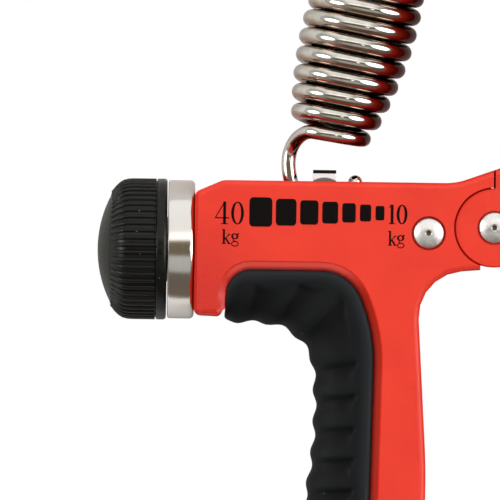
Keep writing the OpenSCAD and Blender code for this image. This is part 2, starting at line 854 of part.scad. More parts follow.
// the wire's least gap to itself, between points that lie over four wire widths apart along it
spring_run = lengths(spring_line);
spring_gap = min([for (i = [0:len(spring_line) - 1]) for (j = [i + 1:len(spring_line) - 1])
  if (spring_run[j] - spring_run[i] > 4 * wire) norm(spring_line[j] - spring_line[i])]) - wire;
echo(spring_least_gap = spring_gap, loops_apart = norm(anchor - lower_loop));

// one unbroken tube along a line of points
module tube(p, r, sides) {
  m = len(p);
  way = [for (i = [0:m - 1]) unit(p[min(m - 1, i + 1)] - p[max(0, i - 1)])];
  side = [for (i = 0, v = unit(cross(way[0], [0, 0, 1])); i < m;
    i = i + 1, v = i < m ? unit(v - (v * way[i]) * way[i]) : v) v];
  points = [for (i = [0:m - 1]) let (a = side[i], b = cross(way[i], side[i]))
    each [for (k = [0:sides - 1]) p[i] + r * (a * cos(360 * k / sides) + b * sin(360 * k / sides))]];
  walls = [for (i = [0:m - 2]) for (k = [0:sides - 1])
    let (l = (k + 1) % sides)
    each [[i * sides + k, (i + 1) * sides + l, i * sides + l],
          [i * sides + k, (i + 1) * sides + k, (i + 1) * sides + l]]];
  ends = [for (k = [1:sides - 2])
    each [[0, k, k + 1], [(m - 1) * sides, (m - 1) * sides + k + 1, (m - 1) * sides + k]]];
  polyhedron(points, concat(walls, ends));
}

module coil_spring() {
  color("gainsboro")
    at_pivot()
      translate([0, 0, mid])
        tube(spring_line, wire / 2, wire_sides);
}

// ---- carriage and screw ----------------------------------------------------

module carriage() {
  hole_low = lower_loop.y - loop_reach - 0.75;
  hole_high = lower_loop.y - 0.3;
  hole_half = wire / 2 + 0.55;
  color("lightgray")
    at_pivot()
      translate([lug_x, 0, mid])
        difference() {
          union() {
            translate([-nut_length / 2, -screw_drop - nut_half_y, -nut_half_z])
              cube([nut_length, nut_top - 0.4 + screw_drop + nut_half_y, 2 * nut_half_z]);
            translate([-lug_length / 2, nut_top - 1, -lug_half_z])
              cube([lug_length, lug_top - nut_top + 1, 2 * lug_half_z]);
          }
          translate([-nut_length, -screw_drop, 0])
            rotate([0, 90, 0])
              cylinder(h = 2 * nut_length, r = screw_diameter / 2 + run_gap);
          translate([-lug_length, hole_low + hole_half, 0])
            rotate([0, 90, 0])
              cylinder(h = 2 * lug_length, r = hole_half);
          translate([-lug_length, hole_high - hole_half, 0])
            rotate([0, 90, 0])
              cylinder(h = 2 * lug_length, r = hole_half);
          translate([-lug_length, hole_low + hole_half, -hole_half])
            cube([2 * lug_length, hole_high - hole_low - 2 * hole_half, 2 * hole_half]);
        }
}

screw_tip = -body_rivet_back - rivet_diameter / 2 - 0.6;
collar_x = neck_x + 1.75;

module lead_screw() {
  color("slategray")
    at_pivot() {
      along_screw(knob_end + 4.2)
        cylinder(h = knob_rim - 1.1 - knob_end - 4.2, r = seat_diameter / 2);
      along_screw(knob_rim - 1.1)
        cylinder(h = chamber_right - 0.2 - knob_rim + 1.1, r = screw_diameter / 2);
      along_screw(collar_x)
        cylinder(h = 1.5, r = collar_radius);
      along_screw(chamber_right - 0.3)
        cylinder(h = screw_tip - chamber_right + 0.3, r = journal_diameter / 2);
    }
}

module thrust_washer() {
  color("white")
    at_pivot()
      along_screw(knob_rim - 0.95)
        difference() {
          cylinder(h = 1.1, r = bush_outer + 1.2);
          translate([0, 0, -1])
            cylinder(h = 4, r = screw_diameter / 2 + run_gap);
        }
}

// ---- knob ------------------------------------------------------------------

module knob_body() {
  r = knob_diameter / 2;
  drum = r - rib_height;
  k = knob_length;
  color("black")
    at_pivot()
      along_screw(knob_end)
        difference() {
          union() {
            rotate_extrude($fn = 120)
              polygon([
                [cap_diameter / 2, cap_depth + 0.1], [drum - 1.7, 3.3], [drum - 0.6, 4.4], [drum - 0.1, 5.6],
                [drum, 6.7], [drum, k - 2.05], [r, k - 1.9], [r, k - 0.4], [r - 0.4, k],
                [r - 2.4, k], [r - 2.4, 6.4], [9, 6.4], [6.2, 6.4], [6.2, k - 1.1], [seat_diameter / 2 + 1.6, k - 1.1],
                [seat_diameter / 2 + 1.6, 6.4], [seat_diameter / 2 + 1.6, 5.2], [8.6, 5.2], [8.6, 3.9],
                [cap_diameter / 2, 3.9]]);
            translate([0, 0, 5.2])
              linear_extrude(k - 1.95 - 5.2)
                difference() {
                  union()
                    for (i = [0:rib_count - 1])
                      rotate(360 * i / rib_count)
                        translate([drum - 0.5, -0.36])
                          square([0.5 + rib_height, 0.72]);
                  circle(drum - 0.45);
                }
          }
        }
}

module knob_insert() {
  color("goldenrod")
    at_pivot()
      along_screw(knob_end + 5.3)
        difference() {
          cylinder(h = knob_length - 1.15 - 5.3, r = seat_diameter / 2 + 1.55);
          translate([0, 0, -1])
            cylinder(h = knob_length, r = seat_diameter / 2 + seat_gap);
        }
}

module knob_nut() {
  color("lightgray")
    at_pivot()
      along_screw(knob_end + 4.25)
        difference() {
          cylinder(h = 0.9, r = seat_diameter / 2 + 2.1, $fn = 6);
          translate([0, 0, -1])
            cylinder(h = 4, r = seat_diameter / 2 + seat_gap);
        }
}

module knob_cap() {
  r = cap_diameter / 2 - seat_gap;
  big = (r * r + cap_depth * cap_depth) / (2 * cap_depth);
  color("darkslategray")
    at_pivot()
      along_screw(knob_end)
        rotate_extrude($fn = 120)
          polygon(concat(
            [for (k = [0:10]) let (x = r * k / 10) [x, big - sqrt(big * big - x * x)]],
            [[r, 3.85], [8.5, 3.85], [8.5, 5.1], [7.3, 5.1], [7.3, 3.85], [0, 3.85]]));
}

finger_shell_front();
finger_shell_rear();
finger_pad();
ferrule();
screw_bush();
tail_block();
body_rivet();
finger_shell_screws();
pivot_bush();
pivot_washers();
lever_shell_front();
lever_shell_rear();
palm_pad();
lever_shell_screws();
pivot_rivet();
anchor_pin();
anchor_roller();
coil_spring();
carriage();
lead_screw();
thrust_washer();
knob_body();
knob_insert();
knob_nut();
knob_cap();
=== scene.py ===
"""Looks of the adjustable hand grip strengthener: finishes, spring, ribbed knob, moulded pads and studio."""

import math

import bmesh
import bpy
import numpy as np
from bpy.props import FloatProperty, IntProperty, PointerProperty, StringProperty
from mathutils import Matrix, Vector


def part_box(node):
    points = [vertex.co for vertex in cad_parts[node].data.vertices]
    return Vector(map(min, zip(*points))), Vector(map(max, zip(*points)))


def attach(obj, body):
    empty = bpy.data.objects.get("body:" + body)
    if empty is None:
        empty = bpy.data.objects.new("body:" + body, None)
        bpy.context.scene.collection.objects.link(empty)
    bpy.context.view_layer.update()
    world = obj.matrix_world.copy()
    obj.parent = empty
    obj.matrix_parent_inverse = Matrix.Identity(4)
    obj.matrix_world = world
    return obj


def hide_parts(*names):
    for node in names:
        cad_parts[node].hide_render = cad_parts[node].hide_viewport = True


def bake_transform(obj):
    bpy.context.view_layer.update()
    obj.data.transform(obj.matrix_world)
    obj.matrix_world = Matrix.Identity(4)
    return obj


bl_info = {
    "name": "Hand grip strengthener",
    "version": (1, 0, 0),
    "blender": (4, 5, 0),
    "location": "View3D > Sidebar > Hand grip",
    "description": "Builds the visible pieces of an adjustable hand grip strengthener round its packed frame",
    "category": "Object",
}

MM = 0.001
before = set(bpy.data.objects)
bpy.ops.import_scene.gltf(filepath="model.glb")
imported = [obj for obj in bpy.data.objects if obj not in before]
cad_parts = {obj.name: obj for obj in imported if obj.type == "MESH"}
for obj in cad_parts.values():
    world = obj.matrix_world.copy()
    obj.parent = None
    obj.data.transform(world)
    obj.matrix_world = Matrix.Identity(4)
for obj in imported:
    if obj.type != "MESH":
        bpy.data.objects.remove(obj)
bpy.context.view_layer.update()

# ---- sizes that the pieces share with the frame, in millimetres -------------

PIVOT = (30.0, 0.0)  # outlines are drawn from the lever's pivot
THICK = 27.0
MID = THICK / 2
NECK_X = -57.0
NECK_BOTTOM = 17.4
FOOT_Y = -101.0
GRIP_ANGLE = 30.0
FINGER_X = -12.4  # the finger handle's inner side, and its outer one
SIDE_X = FINGER_X - 20.8
LEVER_SINK = 0.5  # the lever's faces below the housing's
PAD_SINK = 0.8  # the finger pad's faces below the shells'
PAD_LEFT = NECK_X + 5.8
PAD_INNER = SIDE_X + 10.5
PAD_TOP = -8.6
PAD_END = FOOT_Y + 8
RUBBER = 3.2  # rubber over the core's faces
RUBBER_FIT = 0.06  # how far the rubber stands off its core
KNOB_R, KNOB_LONG, KNOB_GAP = 13.45, 13.2, 0.25
RING_R, RING_LONG = 13.2, 5.1
SCREW_DROP = 4.9  # the screw's axis below the pivot
SCREW_R = 2.6
HOOK_X, HOOK_Y = -32.4, 7.7  # the spring's lower hook
CARRIAGE_OUT = 10.0  # the carriage's way to its softest setting
LUG_X, LUG_TOP = -2.4, 10.6  # the carriage's lug
RIVET_X, RIVET_Y, RIVET_SHANK = -12.5, -1.2, 1.6  # the housing's rivet, from the pivot
ANCHOR = (10.916, 68.460)  # the pin in the lever's arm
# the corner where the shells' red is painted deeper as shade
SHADED_CORNER = (-27.0, -17.0)  # the neck's lower corner


# ---- small helpers ------------------------------------------------------------


def linear(code):
    """Turns an sRGB hex colour into the linear colour that shaders take."""
    parts = [int(code.lstrip("#")[i : i + 2], 16) / 255 for i in (0, 2, 4)]
    return tuple(c / 12.92 if c <= 0.04045 else ((c + 0.055) / 1.055) ** 2.4 for c in parts) + (1.0,)


def add(tree, kind, links=None, **settings):
    """Adds a node: settings are its own properties, links maps a socket to a value or to (node, output)."""
    node = tree.nodes.new(kind)
    for name, value in settings.items():
        setattr(node, name, value)
    for socket, value in (links or {}).items():
        if isinstance(value, tuple) and value and isinstance(value[0], bpy.types.Node):
            tree.links.new(value[0].outputs[value[1]], node.inputs[socket])
        else:
            node.inputs[socket].default_value = value
    return node


def link_in(obj):
    bpy.context.scene.collection.objects.link(obj)
    return obj


def mesh_of(name, points, faces):
    """A mesh piece from points in millimetres."""
    mesh = bpy.data.meshes.new(name)
    mesh.from_pydata([tuple(c * MM for c in p) for p in points], [], faces)
    mesh.validate()
    return link_in(bpy.data.objects.new(name, mesh))


def carrier_mesh(name, points, joined=False):
    """Points in metres for a tree to work on, joined into a line where that is asked for."""
    mesh = bpy.data.meshes.new(name)
    mesh.from_pydata(points, [(i, i + 1) for i in range(len(points) - 1)] if joined else [], [])
    return mesh


def keep_values(mesh, name, values):
    """Stores one number a point in a mesh, for its tree or its finish to read."""
    mesh.attributes.new(name, "FLOAT", "POINT").data.foreach_set("value", values)


def outward(obj):
    """Merges doubles and turns every face outwards."""
    b = bmesh.new()
    b.from_mesh(obj.data)
    bmesh.ops.remove_doubles(b, verts=b.verts, dist=1e-6)
    bmesh.ops.recalc_face_normals(b, faces=b.faces)
    b.to_mesh(obj.data)
    b.free()
    return obj


def creased(obj, degrees):
    """Shades a piece smooth, except where its faces meet at more than this angle."""
    obj.data.shade_smooth()
    obj.data.set_sharp_from_angle(angle=math.radians(degrees))
    return obj


def paint(obj, material):
    obj.data.materials.clear()
    obj.data.materials.append(material)
    return obj


def settle(obj):
    """Bakes the modifiers of a piece into a plain mesh."""
    graph = bpy.context.evaluated_depsgraph_get()
    graph.update()
    mesh = bpy.data.meshes.new_from_object(obj.evaluated_get(graph))
    obj.modifiers.clear()
    obj.data = mesh
    return obj


def place(obj, body, slot, *nodes):
    """Puts a finished piece on its body, in the place of the CAD nodes it stands for."""
    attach(obj, body)
    if nodes:
        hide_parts(*nodes)


def merged_copy(node, name, smooth_below=32.0, edge=0.0):
    """A copy of a CAD node, its triangles merged and its flat faces joined, shaded like a moulded piece."""
    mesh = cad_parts[node].data.copy()
    obj = link_in(bpy.data.objects.new(name, mesh))
    b = bmesh.new()
    b.from_mesh(mesh)
    bmesh.ops.remove_doubles(b, verts=b.verts, dist=2e-6)
    flat = math.radians(0.6)
    bmesh.ops.dissolve_limit(b, angle_limit=flat, verts=b.verts, edges=b.edges, use_dissolve_boundaries=False)
    b.to_mesh(mesh)
    b.free()
    if "custom_normal" in mesh.attributes:
        mesh.attributes.remove(mesh.attributes["custom_normal"])
    creased(obj, smooth_below)
    if edge:
        bevel = obj.modifiers.new("edge", "BEVEL")
        bevel.width = edge * MM
        bevel.segments = 2
        bevel.limit_method = "ANGLE"
        bevel.angle_limit = math.radians(smooth_below)
        bevel.use_clamp_overlap = True
    weigh = obj.modifiers.new("even", "WEIGHTED_NORMAL")
    weigh.keep_sharp = True
    return settle(obj)


def lathe(name, profile, turns, at=(0, 0, 0), axis="Z"):
    """A round piece from (radius, height) points that start and end on the axis or close on themselves."""
    hollow = profile[0][0] > 1e-6
    points, rings = [], []
    for r, h in profile:
        if r < 1e-6:
            rings.append([len(points)] * turns)
            points.append((0.0, 0.0, h))
        else:
            rings.append([len(points) + k for k in range(turns)])
            for k in range(turns):
                a = 2 * math.pi * k / turns
                points.append((r * math.cos(a), r * math.sin(a), h))
    faces = []
    for low, high in zip(rings, rings[1:] + rings[:1] if hollow else rings[1:]):
        for k in range(turns):
            following = (k + 1) % turns
            face = [low[k], low[following], high[following], high[k]]
            short = [v for i, v in enumerate(face) if v != face[i - 1]]
            if len(set(short)) > 2:
                faces.append(short)
    if axis == "X":
        points = [(z, y, -x) for x, y, z in points]
    points = [(x + at[0], y + at[1], z + at[2]) for x, y, z in points]
    return creased(outward(mesh_of(name, points, faces)), 35)


# ---- geometry node trees ---------------------------------------------------


def new_tree(name, sockets):
    """An empty geometry tree with named inputs, each given as (name, type, default)."""
    tree = bpy.data.node_groups.new(name, "GeometryNodeTree")
    tree.interface.new_socket("Geometry", in_out="INPUT", socket_type="NodeSocketGeometry")
    for label, kind, default in sockets:
        socket = tree.interface.new_socket(label, in_out="INPUT", socket_type=kind)
        if default is not None:
            socket.default_value = default
    tree.interface.new_socket("Geometry", in_out="OUTPUT", socket_type="NodeSocketGeometry")
    return tree, add(tree, "NodeGroupInput"), add(tree, "NodeGroupOutput")


def grown(name, tree, carrier, values):
    """Runs a geometry tree once on a carrier mesh and keeps the result as a plain mesh piece."""
    host = link_in(bpy.data.objects.new(name, carrier))
    modifier = host.modifiers.new("grow", "NODES")
    modifier.node_group = tree
    for item in tree.interface.items_tree:
        if item.item_type == "SOCKET" and item.in_out == "INPUT" and item.name in values:
            modifier[item.identifier] = values[item.name]
    return settle(host)


def close_tree(tree, out, last, material):
    """Ends a tree in Realize Instances and Set Material."""
    real = add(tree, "GeometryNodeRealizeInstances", {0: (last, 0)})
    done = add(tree, "GeometryNodeSetMaterial", {"Geometry": (real, 0), "Material": material})
    tree.links.new(done.outputs[0], out.inputs[0])
    return tree


def line_mesh(name, points, round_end=0.0, girth=None):
    """A line in mm for a tree to sweep along, its girth falling to a round end where one is asked for."""
    points = np.array(points, float)
    girth = np.ones(len(points)) if girth is None else np.array(girth)
    if round_end:
        run = np.concatenate([[0], np.cumsum(np.linalg.norm(np.diff(points, axis=0), axis=1))])
        dense = np.array([0, 0.02, 0.1, 0.25, 0.45, 0.7, 1]) * round_end
        inner = run[(run > 1.05 * round_end) & (run < run[-1] - 1.05 * round_end)]
        places = np.concatenate([dense, inner, (run[-1] - dense)[::-1]])
        points = np.stack([np.interp(places, run, points[:, i]) for i in range(3)], axis=1)
        inset = np.clip(np.minimum(places, run[-1] - places) / round_end, 0, 1)
        girth = np.interp(places, run, girth) * np.clip(np.sqrt(1 - (1 - inset) ** 2), 0.04, 1)
    mesh = carrier_mesh(name, [[c * MM for c in p] for p in points], joined=True)
    keep_values(mesh, "girth", girth)
    return mesh


def wire_tree(material):
    """A round wire swept along a line of points, with closed ends."""
    sockets = [("Wire radius", "NodeSocketFloat", 1.35 * MM), ("Sides", "NodeSocketInt", 20)]
    tree, entry, out = new_tree("wire_along_line", sockets)
    line = add(tree, "GeometryNodeMeshToCurve", {0: (entry, "Geometry")})
    girth = add(tree, "GeometryNodeInputNamedAttribute", {"Name": "girth"}, data_type="FLOAT")
    section = {"Resolution": (entry, "Sides"), "Radius": (entry, "Wire radius")}
    ring = add(tree, "GeometryNodeCurvePrimitiveCircle", section)
    sweep = {"Curve": (line, 0), "Profile Curve": (ring, 0), "Scale": (girth, 0), "Fill Caps": True}
    swept = add(tree, "GeometryNodeCurveToMesh", sweep)
    even = add(tree, "GeometryNodeSetShadeSmooth", {"Geometry": (swept, 0)})
    return close_tree(tree, out, even, material)


def rib_tree(material):
    """A round rib swept along its carrier line, then set evenly round a drum whose axis runs along X."""
    width = ("Rib width", "NodeSocketFloat", 0.86 * MM)
    sockets = [("Ribs", "NodeSocketInt", 58), width, ("Centre", "NodeSocketVector", None)]
    tree, entry, out = new_tree("ribs_round_drum", sockets)
    line = add(tree, "GeometryNodeMeshToCurve", {0: (entry, "Geometry")})
    half = add(tree, "ShaderNodeMath", {0: (entry, "Rib width"), 1: 0.5}, operation="MULTIPLY")
    ring = add(tree, "GeometryNodeCurvePrimitiveCircle", {"Resolution": 12, "Radius": (half, 0)})
    sweep = {"Curve": (line, 0), "Profile Curve": (ring, 0), "Fill Caps": True}
    rib = add(tree, "GeometryNodeCurveToMesh", sweep)
    even = add(tree, "GeometryNodeSetShadeSmooth", {"Geometry": (rib, 0)})
    points = add(tree, "GeometryNodePoints", {"Count": (entry, "Ribs")})
    index = add(tree, "GeometryNodeInputIndex")
    step = add(tree, "ShaderNodeMath", {0: 2 * math.pi, 1: (entry, "Ribs")}, operation="DIVIDE")
    angle = add(tree, "ShaderNodeMath", {0: (index, 0), 1: (step, 0)}, operation="MULTIPLY")
    round_x = add(tree, "ShaderNodeCombineXYZ", {0: (angle, 0)})
    turn = add(tree, "FunctionNodeEulerToRotation", {0: (round_x, 0)})
    spots = {"Points": (points, 0), "Instance": (even, 0), "Rotation": (turn, 0)}
    placed = add(tree, "GeometryNodeInstanceOnPoints", spots)
    moved = add(tree, "GeometryNodeTransform", {"Geometry": (placed, 0), "Translation": (entry, "Centre")})
    return close_tree(tree, out, moved, material)


def instance_tree(material):
    """Sets a copy of a piece on each point of its carrier."""
    tree, entry, out = new_tree("piece_on_points", [("Piece", "NodeSocketObject", None)])
    points = add(tree, "GeometryNodeMeshToPoints", {0: (entry, "Geometry")})
    piece = add(tree, "GeometryNodeObjectInfo", {"Object": (entry, "Piece")})
    spots = {"Points": (points, 0), "Instance": (piece, "Geometry")}
    return close_tree(tree, out, add(tree, "GeometryNodeInstanceOnPoints", spots), material)


def mark_tree(material):
    """A row of rounded marks that shrink evenly from the first to the last."""
    sockets = [("First size", "NodeSocketVector", None), ("Last size", "NodeSocketVector", None)]
    tree, entry, out = new_tree("shrinking_marks", sockets)
    share = add(tree, "GeometryNodeInputNamedAttribute", {"Name": "share"}, data_type="FLOAT")
    points = add(tree, "GeometryNodeMeshToPoints", {0: (entry, "Geometry")})
    unit = {"Width": 1.0, "Height": 1.0}
    square = add(tree, "GeometryNodeCurvePrimitiveQuadrilateral", unit, mode="RECTANGLE")
    corners = {"Curve": (square, 0), "Count": 5, "Radius": 0.16}
    soft = add(tree, "GeometryNodeFilletCurve", corners, mode="POLY")
    face = add(tree, "GeometryNodeFillCurve", {"Curve": (soft, 0)}, mode="NGONS")
    lift = {"Mesh": (face, 0), "Offset Scale": 1.0, "Individual": False}
    solid = add(tree, "GeometryNodeExtrudeMesh", lift, mode="FACES")
    under = add(tree, "GeometryNodeFlipFaces", {0: (face, 0)})
    whole = add(tree, "GeometryNodeJoinGeometry")
    for part in (solid, under):
        tree.links.new(part.outputs[0], whole.inputs[0])
    ends = {"Factor": (share, 0), 4: (entry, "First size"), 5: (entry, "Last size")}
    size = add(tree, "ShaderNodeMix", ends, data_type="VECTOR")
    spots = {"Points": (points, 0), "Instance": (whole, 0), "Scale": (size, 1)}
    return close_tree(tree, out, add(tree, "GeometryNodeInstanceOnPoints", spots), material)


# ---- finishes ------------------------------------------------------------------

FINISHES = {}
METAL = {"Metallic": 1.0}


def finish_of(maker):
    """The material that a maker describes, made once, from the colours in the panel."""
    if maker not in FINISHES:
        material = bpy.data.materials.new(maker.__name__)
        material.use_nodes = True
        tree = material.node_tree
        tree.nodes.clear()
        shader = maker(tree, bpy.context.scene.grip_colours)
        add(tree, "ShaderNodeOutputMaterial", {"Surface": (shader, 0)})
        FINISHES[maker] = material
    return FINISHES[maker]


def grain(tree, size_mm, detail=2.0, rough=0.5):
    """Noise whose features are about size_mm across, on the piece's own coordinates."""
    where = add(tree, "ShaderNodeTexCoord")
    sockets = {"Vector": (where, "Object"), "Scale": 1 / (size_mm * MM), "Detail": detail, "Roughness": rough}
    return add(tree, "ShaderNodeTexNoise", sockets), 0


def streaks(tree, scales):
    """Noise drawn out along an axis: scales are its features to the metre along X, Y and Z."""
    where = add(tree, "ShaderNodeTexCoord")
    stretch = add(tree, "ShaderNodeMapping", {"Vector": (where, "Object"), "Scale": scales})
    return add(tree, "ShaderNodeTexNoise", {"Vector": (stretch, 0), "Scale": 1.0, "Detail": 3.0}), 0


def specks(tree, spacing_mm, size):
    """Sparse dust: 1 on small dots about spacing_mm apart, 0 elsewhere."""
    where = add(tree, "ShaderNodeTexCoord")
    sockets = {"Vector": (where, "Object"), "Scale": 1 / (spacing_mm * MM), "Randomness": 1.0}
    cells = add(tree, "ShaderNodeTexVoronoi", sockets)
    return add(tree, "ShaderNodeMath", {0: (cells, "Distance"), 1: size}, operation="LESS_THAN"), 0


def blended(tree, factor, low, high):
    """From one colour to another as a factor rises from 0 to 1."""
    return add(tree, "ShaderNodeMix", {"Factor": factor, 6: low, 7: high}, data_type="RGBA"), 2


def span(tree, value, low, high, from_low=0.0, from_high=1.0):
    """From low to high as a value rises from from_low to from_high."""
    return add(tree, "ShaderNodeMapRange", {0: value, 1: from_low, 2: from_high, 3: low, 4: high}), 0


def mottled(tree, pattern, first, second, low=0.3, high=0.7):
    """From one hex colour to another as a pattern rises from low to high."""
    return blended(tree, span(tree, pattern, 0.0, 1.0, low, high), linear(first), linear(second))


def coat(tree, colour, rough, relief=None, **sockets):
    """The shader of a finish: rough is a number or (pattern, low, high), relief (pattern, strength, mm)."""
    sockets = {name.replace("_", " "): value for name, value in sockets.items()} | {"Base Color": colour}
    sockets["Roughness"] = span(tree, *rough, 0.3, 0.7) if isinstance(rough, tuple) else rough
    if relief:
        pattern, strength, depth = relief
        bump = add(tree, "ShaderNodeBump", {"Strength": strength, "Distance": depth * MM, "Height": pattern})
        sockets["Normal"] = (bump, 0)
    return add(tree, "ShaderNodeBsdfPrincipled", sockets)


def red_abs_spark_textured(t, look):
    # Injection-moulded ABS from a spark-eroded tool: even red, its satin grain breaks up the gloss.
    # The real grain is about 0.12 mm; it is drawn at 0.3 mm so that it shows.
    fine = grain(t, 0.3, 3.0, 0.6)
    even = mottled(t, grain(t, 9.0), look.shell_deep, look.shell, 0.35, 0.65)
    # painted shade: the red runs deeper towards the neck's lower corner
    where = add(t, "ShaderNodeTexCoord")
    corner = (*(c * MM for c in SHADED_CORNER), 20 * MM)
    corner_distance = add(t, "ShaderNodeVectorMath", {0: (where, "Object"), 1: corner}, operation="DISTANCE")
    colour = blended(t, span(t, (corner_distance, "Value"), 0.8, 0.0, 6 * MM, 22 * MM), even, linear(look.shell_shade))
    colour = blended(t, span(t, fine, 0.0, 0.5, 0.5, 0.8), colour, linear(look.shell_light))
    surface = add(t, "ShaderNodeNewGeometry")
    tilt = add(t, "ShaderNodeSeparateXYZ", {0: (surface, "Normal")})
    # the bevel round the pads, known by its slope and by lying below the faces
    slope, slope_give = 0.762, 0.022
    steep = add(t, "ShaderNodeMath", {0: (tilt, 2)}, operation="ABSOLUTE")
    off = add(t, "ShaderNodeMath", {0: (steep, 0), 1: slope, 2: slope_give}, operation="COMPARE")
    spot = add(t, "ShaderNodeSeparateXYZ", {0: (where, "Object")})
    aside = add(t, "ShaderNodeMath", {0: (spot, 2), 1: MID * MM}, operation="SUBTRACT")
    level = add(t, "ShaderNodeMath", {0: (aside, 0)}, operation="ABSOLUTE")
    inside = span(t, (level, 0), 1.0, 0.0, (MID - 0.3) * MM, (MID - 0.12) * MM)
    bevel = add(t, "ShaderNodeMath", {0: (off, 0), 1: inside}, operation="MULTIPLY")
    # painted light on it: a paler painted highlight where it faces down, deep red painted shade on its inner
    # side and darker painted shade at its foot
    for side, reach, painted_tint in (
        ((tilt, 1), (0.9, 0.0, -0.6, -0.3), "#ff5a50"),
        ((tilt, 0), (0.9, 0.0, -0.6, -0.3), "#a81f0b"),
        ((level, 0), (0.85, 0.0, (MID - 1.4) * MM, (MID - 0.78) * MM), "#5a0a04"),
    ):
        share = add(t, "ShaderNodeMath", {0: (bevel, 0), 1: span(t, side, *reach)}, operation="MULTIPLY")
        colour = blended(t, (share, 0), colour, linear(painted_tint))
    # painted shade: the red turns deeper in creases and corners close to other faces
    near = add(t, "ShaderNodeAmbientOcclusion", {"Distance": 0.45 * MM}, samples=8, only_local=False)
    crease_shaded = blended(t, span(t, (near, "AO"), 1.0, 0.0, 0.35, 0.95), colour, linear(look.shell_shade))
    gloss = span(t, (tilt, 0), 0.1, 0.5, -0.6, -0.15)
    return coat(t, crease_shaded, (fine, 0.42, 0.58), (fine, 0.35, 0.03), IOR=1.54, Specular_IOR_Level=gloss)


def black_tpe_moulded(t, look):
    # Soft thermoplastic rubber over the core: nearly black and dull, with painted shade in the scoops,
    # a painted blue-grey sheen along its inner rim and a little lint.
    patch = grain(t, 6.0, 3.0)
    base = mottled(t, patch, look.rubber, look.rubber_bloom, 0.35, 0.7)
    # painted light: rim carries a painted sheen along the inner rim, scoop painted shade in the scoops
    rim = add(t, "ShaderNodeAttribute", attribute_name="rim")
    scoop = add(t, "ShaderNodeAttribute", attribute_name="scoop")
    rim_sheened = blended(t, (rim, "Fac"), base, linear(look.rubber_rim_sheen))
    shaded = blended(t, span(t, (scoop, "Fac"), 0.0, 0.75, 0.2, 0.9), rim_sheened, linear("#020202"))
    colour = blended(t, specks(t, 3.4, 0.035), shaded, linear("#585c5e"))
    bloom = {"IOR": 1.5, "Specular_IOR_Level": 0.12, "Sheen_Weight": 0.015, "Sheen_Roughness": 0.5}
    return coat(t, colour, (patch, 0.5, 0.62), (grain(t, 0.25, 3.0, 0.65), 0.5, 0.03), **bloom)


def black_abs_satin(t, look):
    # Moulded ABS knob handled often: satin black with rubbed, slightly glossier crests, scratches and dust.
    scratch = streaks(t, (60.0, 1400.0, 1400.0))
    colour = blended(t, specks(t, 2.6, 0.05), linear(look.knob), linear("#777b78"))
    relief = (grain(t, 0.4, 4.0, 0.6), 0.25, 0.02)
    return coat(t, colour, (scratch, 0.24, 0.46), relief, IOR=1.54, Specular_IOR_Level=0.24)


def grey_abs_cap(t, look):
    # The cap is a separate moulding in a slightly greyer mix, a little duller than the barrel.
    fine = grain(t, 0.5, 3.0, 0.6)
    colour = mottled(t, grain(t, 5.0), look.cap, look.cap_light, 0.35, 0.65)
    return coat(t, colour, (fine, 0.3, 0.42), (fine, 0.2, 0.02), IOR=1.54, Specular_IOR_Level=0.13)


def chromed_spring_wire(t, look):
    # Bright chrome on drawn spring wire: mirror-like outside, with faint drawing marks. Painted shade darkens
    # it inside the barrel and next to the lever's arm, and a painted brown reflection and shade lies on its
    # undersides.
    mark = grain(t, 1.4, 3.0)
    # painted light: under tints the undersides brown, plating darkens inside the barrel and beside the arm
    under = add(t, "ShaderNodeAttribute", attribute_name="under")
    plating = add(t, "ShaderNodeAttribute", attribute_name="plating")
    colour = mottled(t, mark, look.chrome_deep, look.chrome)
    brown = blended(t, (under, "Fac"), (1, 1, 1, 1), linear(look.chrome_underside_shade))
    tinted = add(t, "ShaderNodeVectorMath", {0: colour, 1: brown}, operation="MULTIPLY")
    final = add(t, "ShaderNodeVectorMath", {0: (tinted, 0), "Scale": (plating, "Fac")}, operation="SCALE")
    return coat(t, (final, 0), (mark, 0.07, 0.15), (grain(t, 0.2), 0.06, 0.02), **METAL)


def nickel_plated_steel(t, look):
    # Cold-headed rivets, nickel plated: bright with a slightly grained, spun face.
    mark = grain(t, 0.9, 4.0, 0.6)
    return coat(t, mottled(t, mark, "#dcdcd9", look.nickel), (mark, 0.3, 0.5), (mark, 0.35, 0.04), **METAL)


def shaded_nickel_dimple(t, look):
    # The dimple that the heading tool leaves: the same plating, painted dull brown grey as shade in the
    # hollow.
    return coat(t, mottled(t, grain(t, 0.3), "#3a332a", "#6b6255"), 0.55, **METAL)


def turned_polished_steel(t, look):
    # A turned and polished ring: fine marks run round it and smear the reflections along its length.
    # The marks are about 0.06 mm apart along the ring and drawn at 0.15 mm.
    marks = streaks(t, (1 / (0.15 * MM), 45.0, 45.0))
    colour = blended(t, specks(t, 1.7, 0.06), linear(look.ring), linear("#ffffff"))
    return coat(t, colour, (marks, 0.1, 0.2), (marks, 0.12, 0.02), **METAL)


def zinc_plated_steel(t, look):
    # Stamped and turned inner steel, bright zinc plated: grey-blue, soft spangle.
    spangle = grain(t, 1.2, 4.0, 0.6)
    colour = mottled(t, spangle, "#8d9192", look.zinc)
    return coat(t, colour, (spangle, 0.25, 0.42), (spangle, 0.2, 0.03), **METAL)


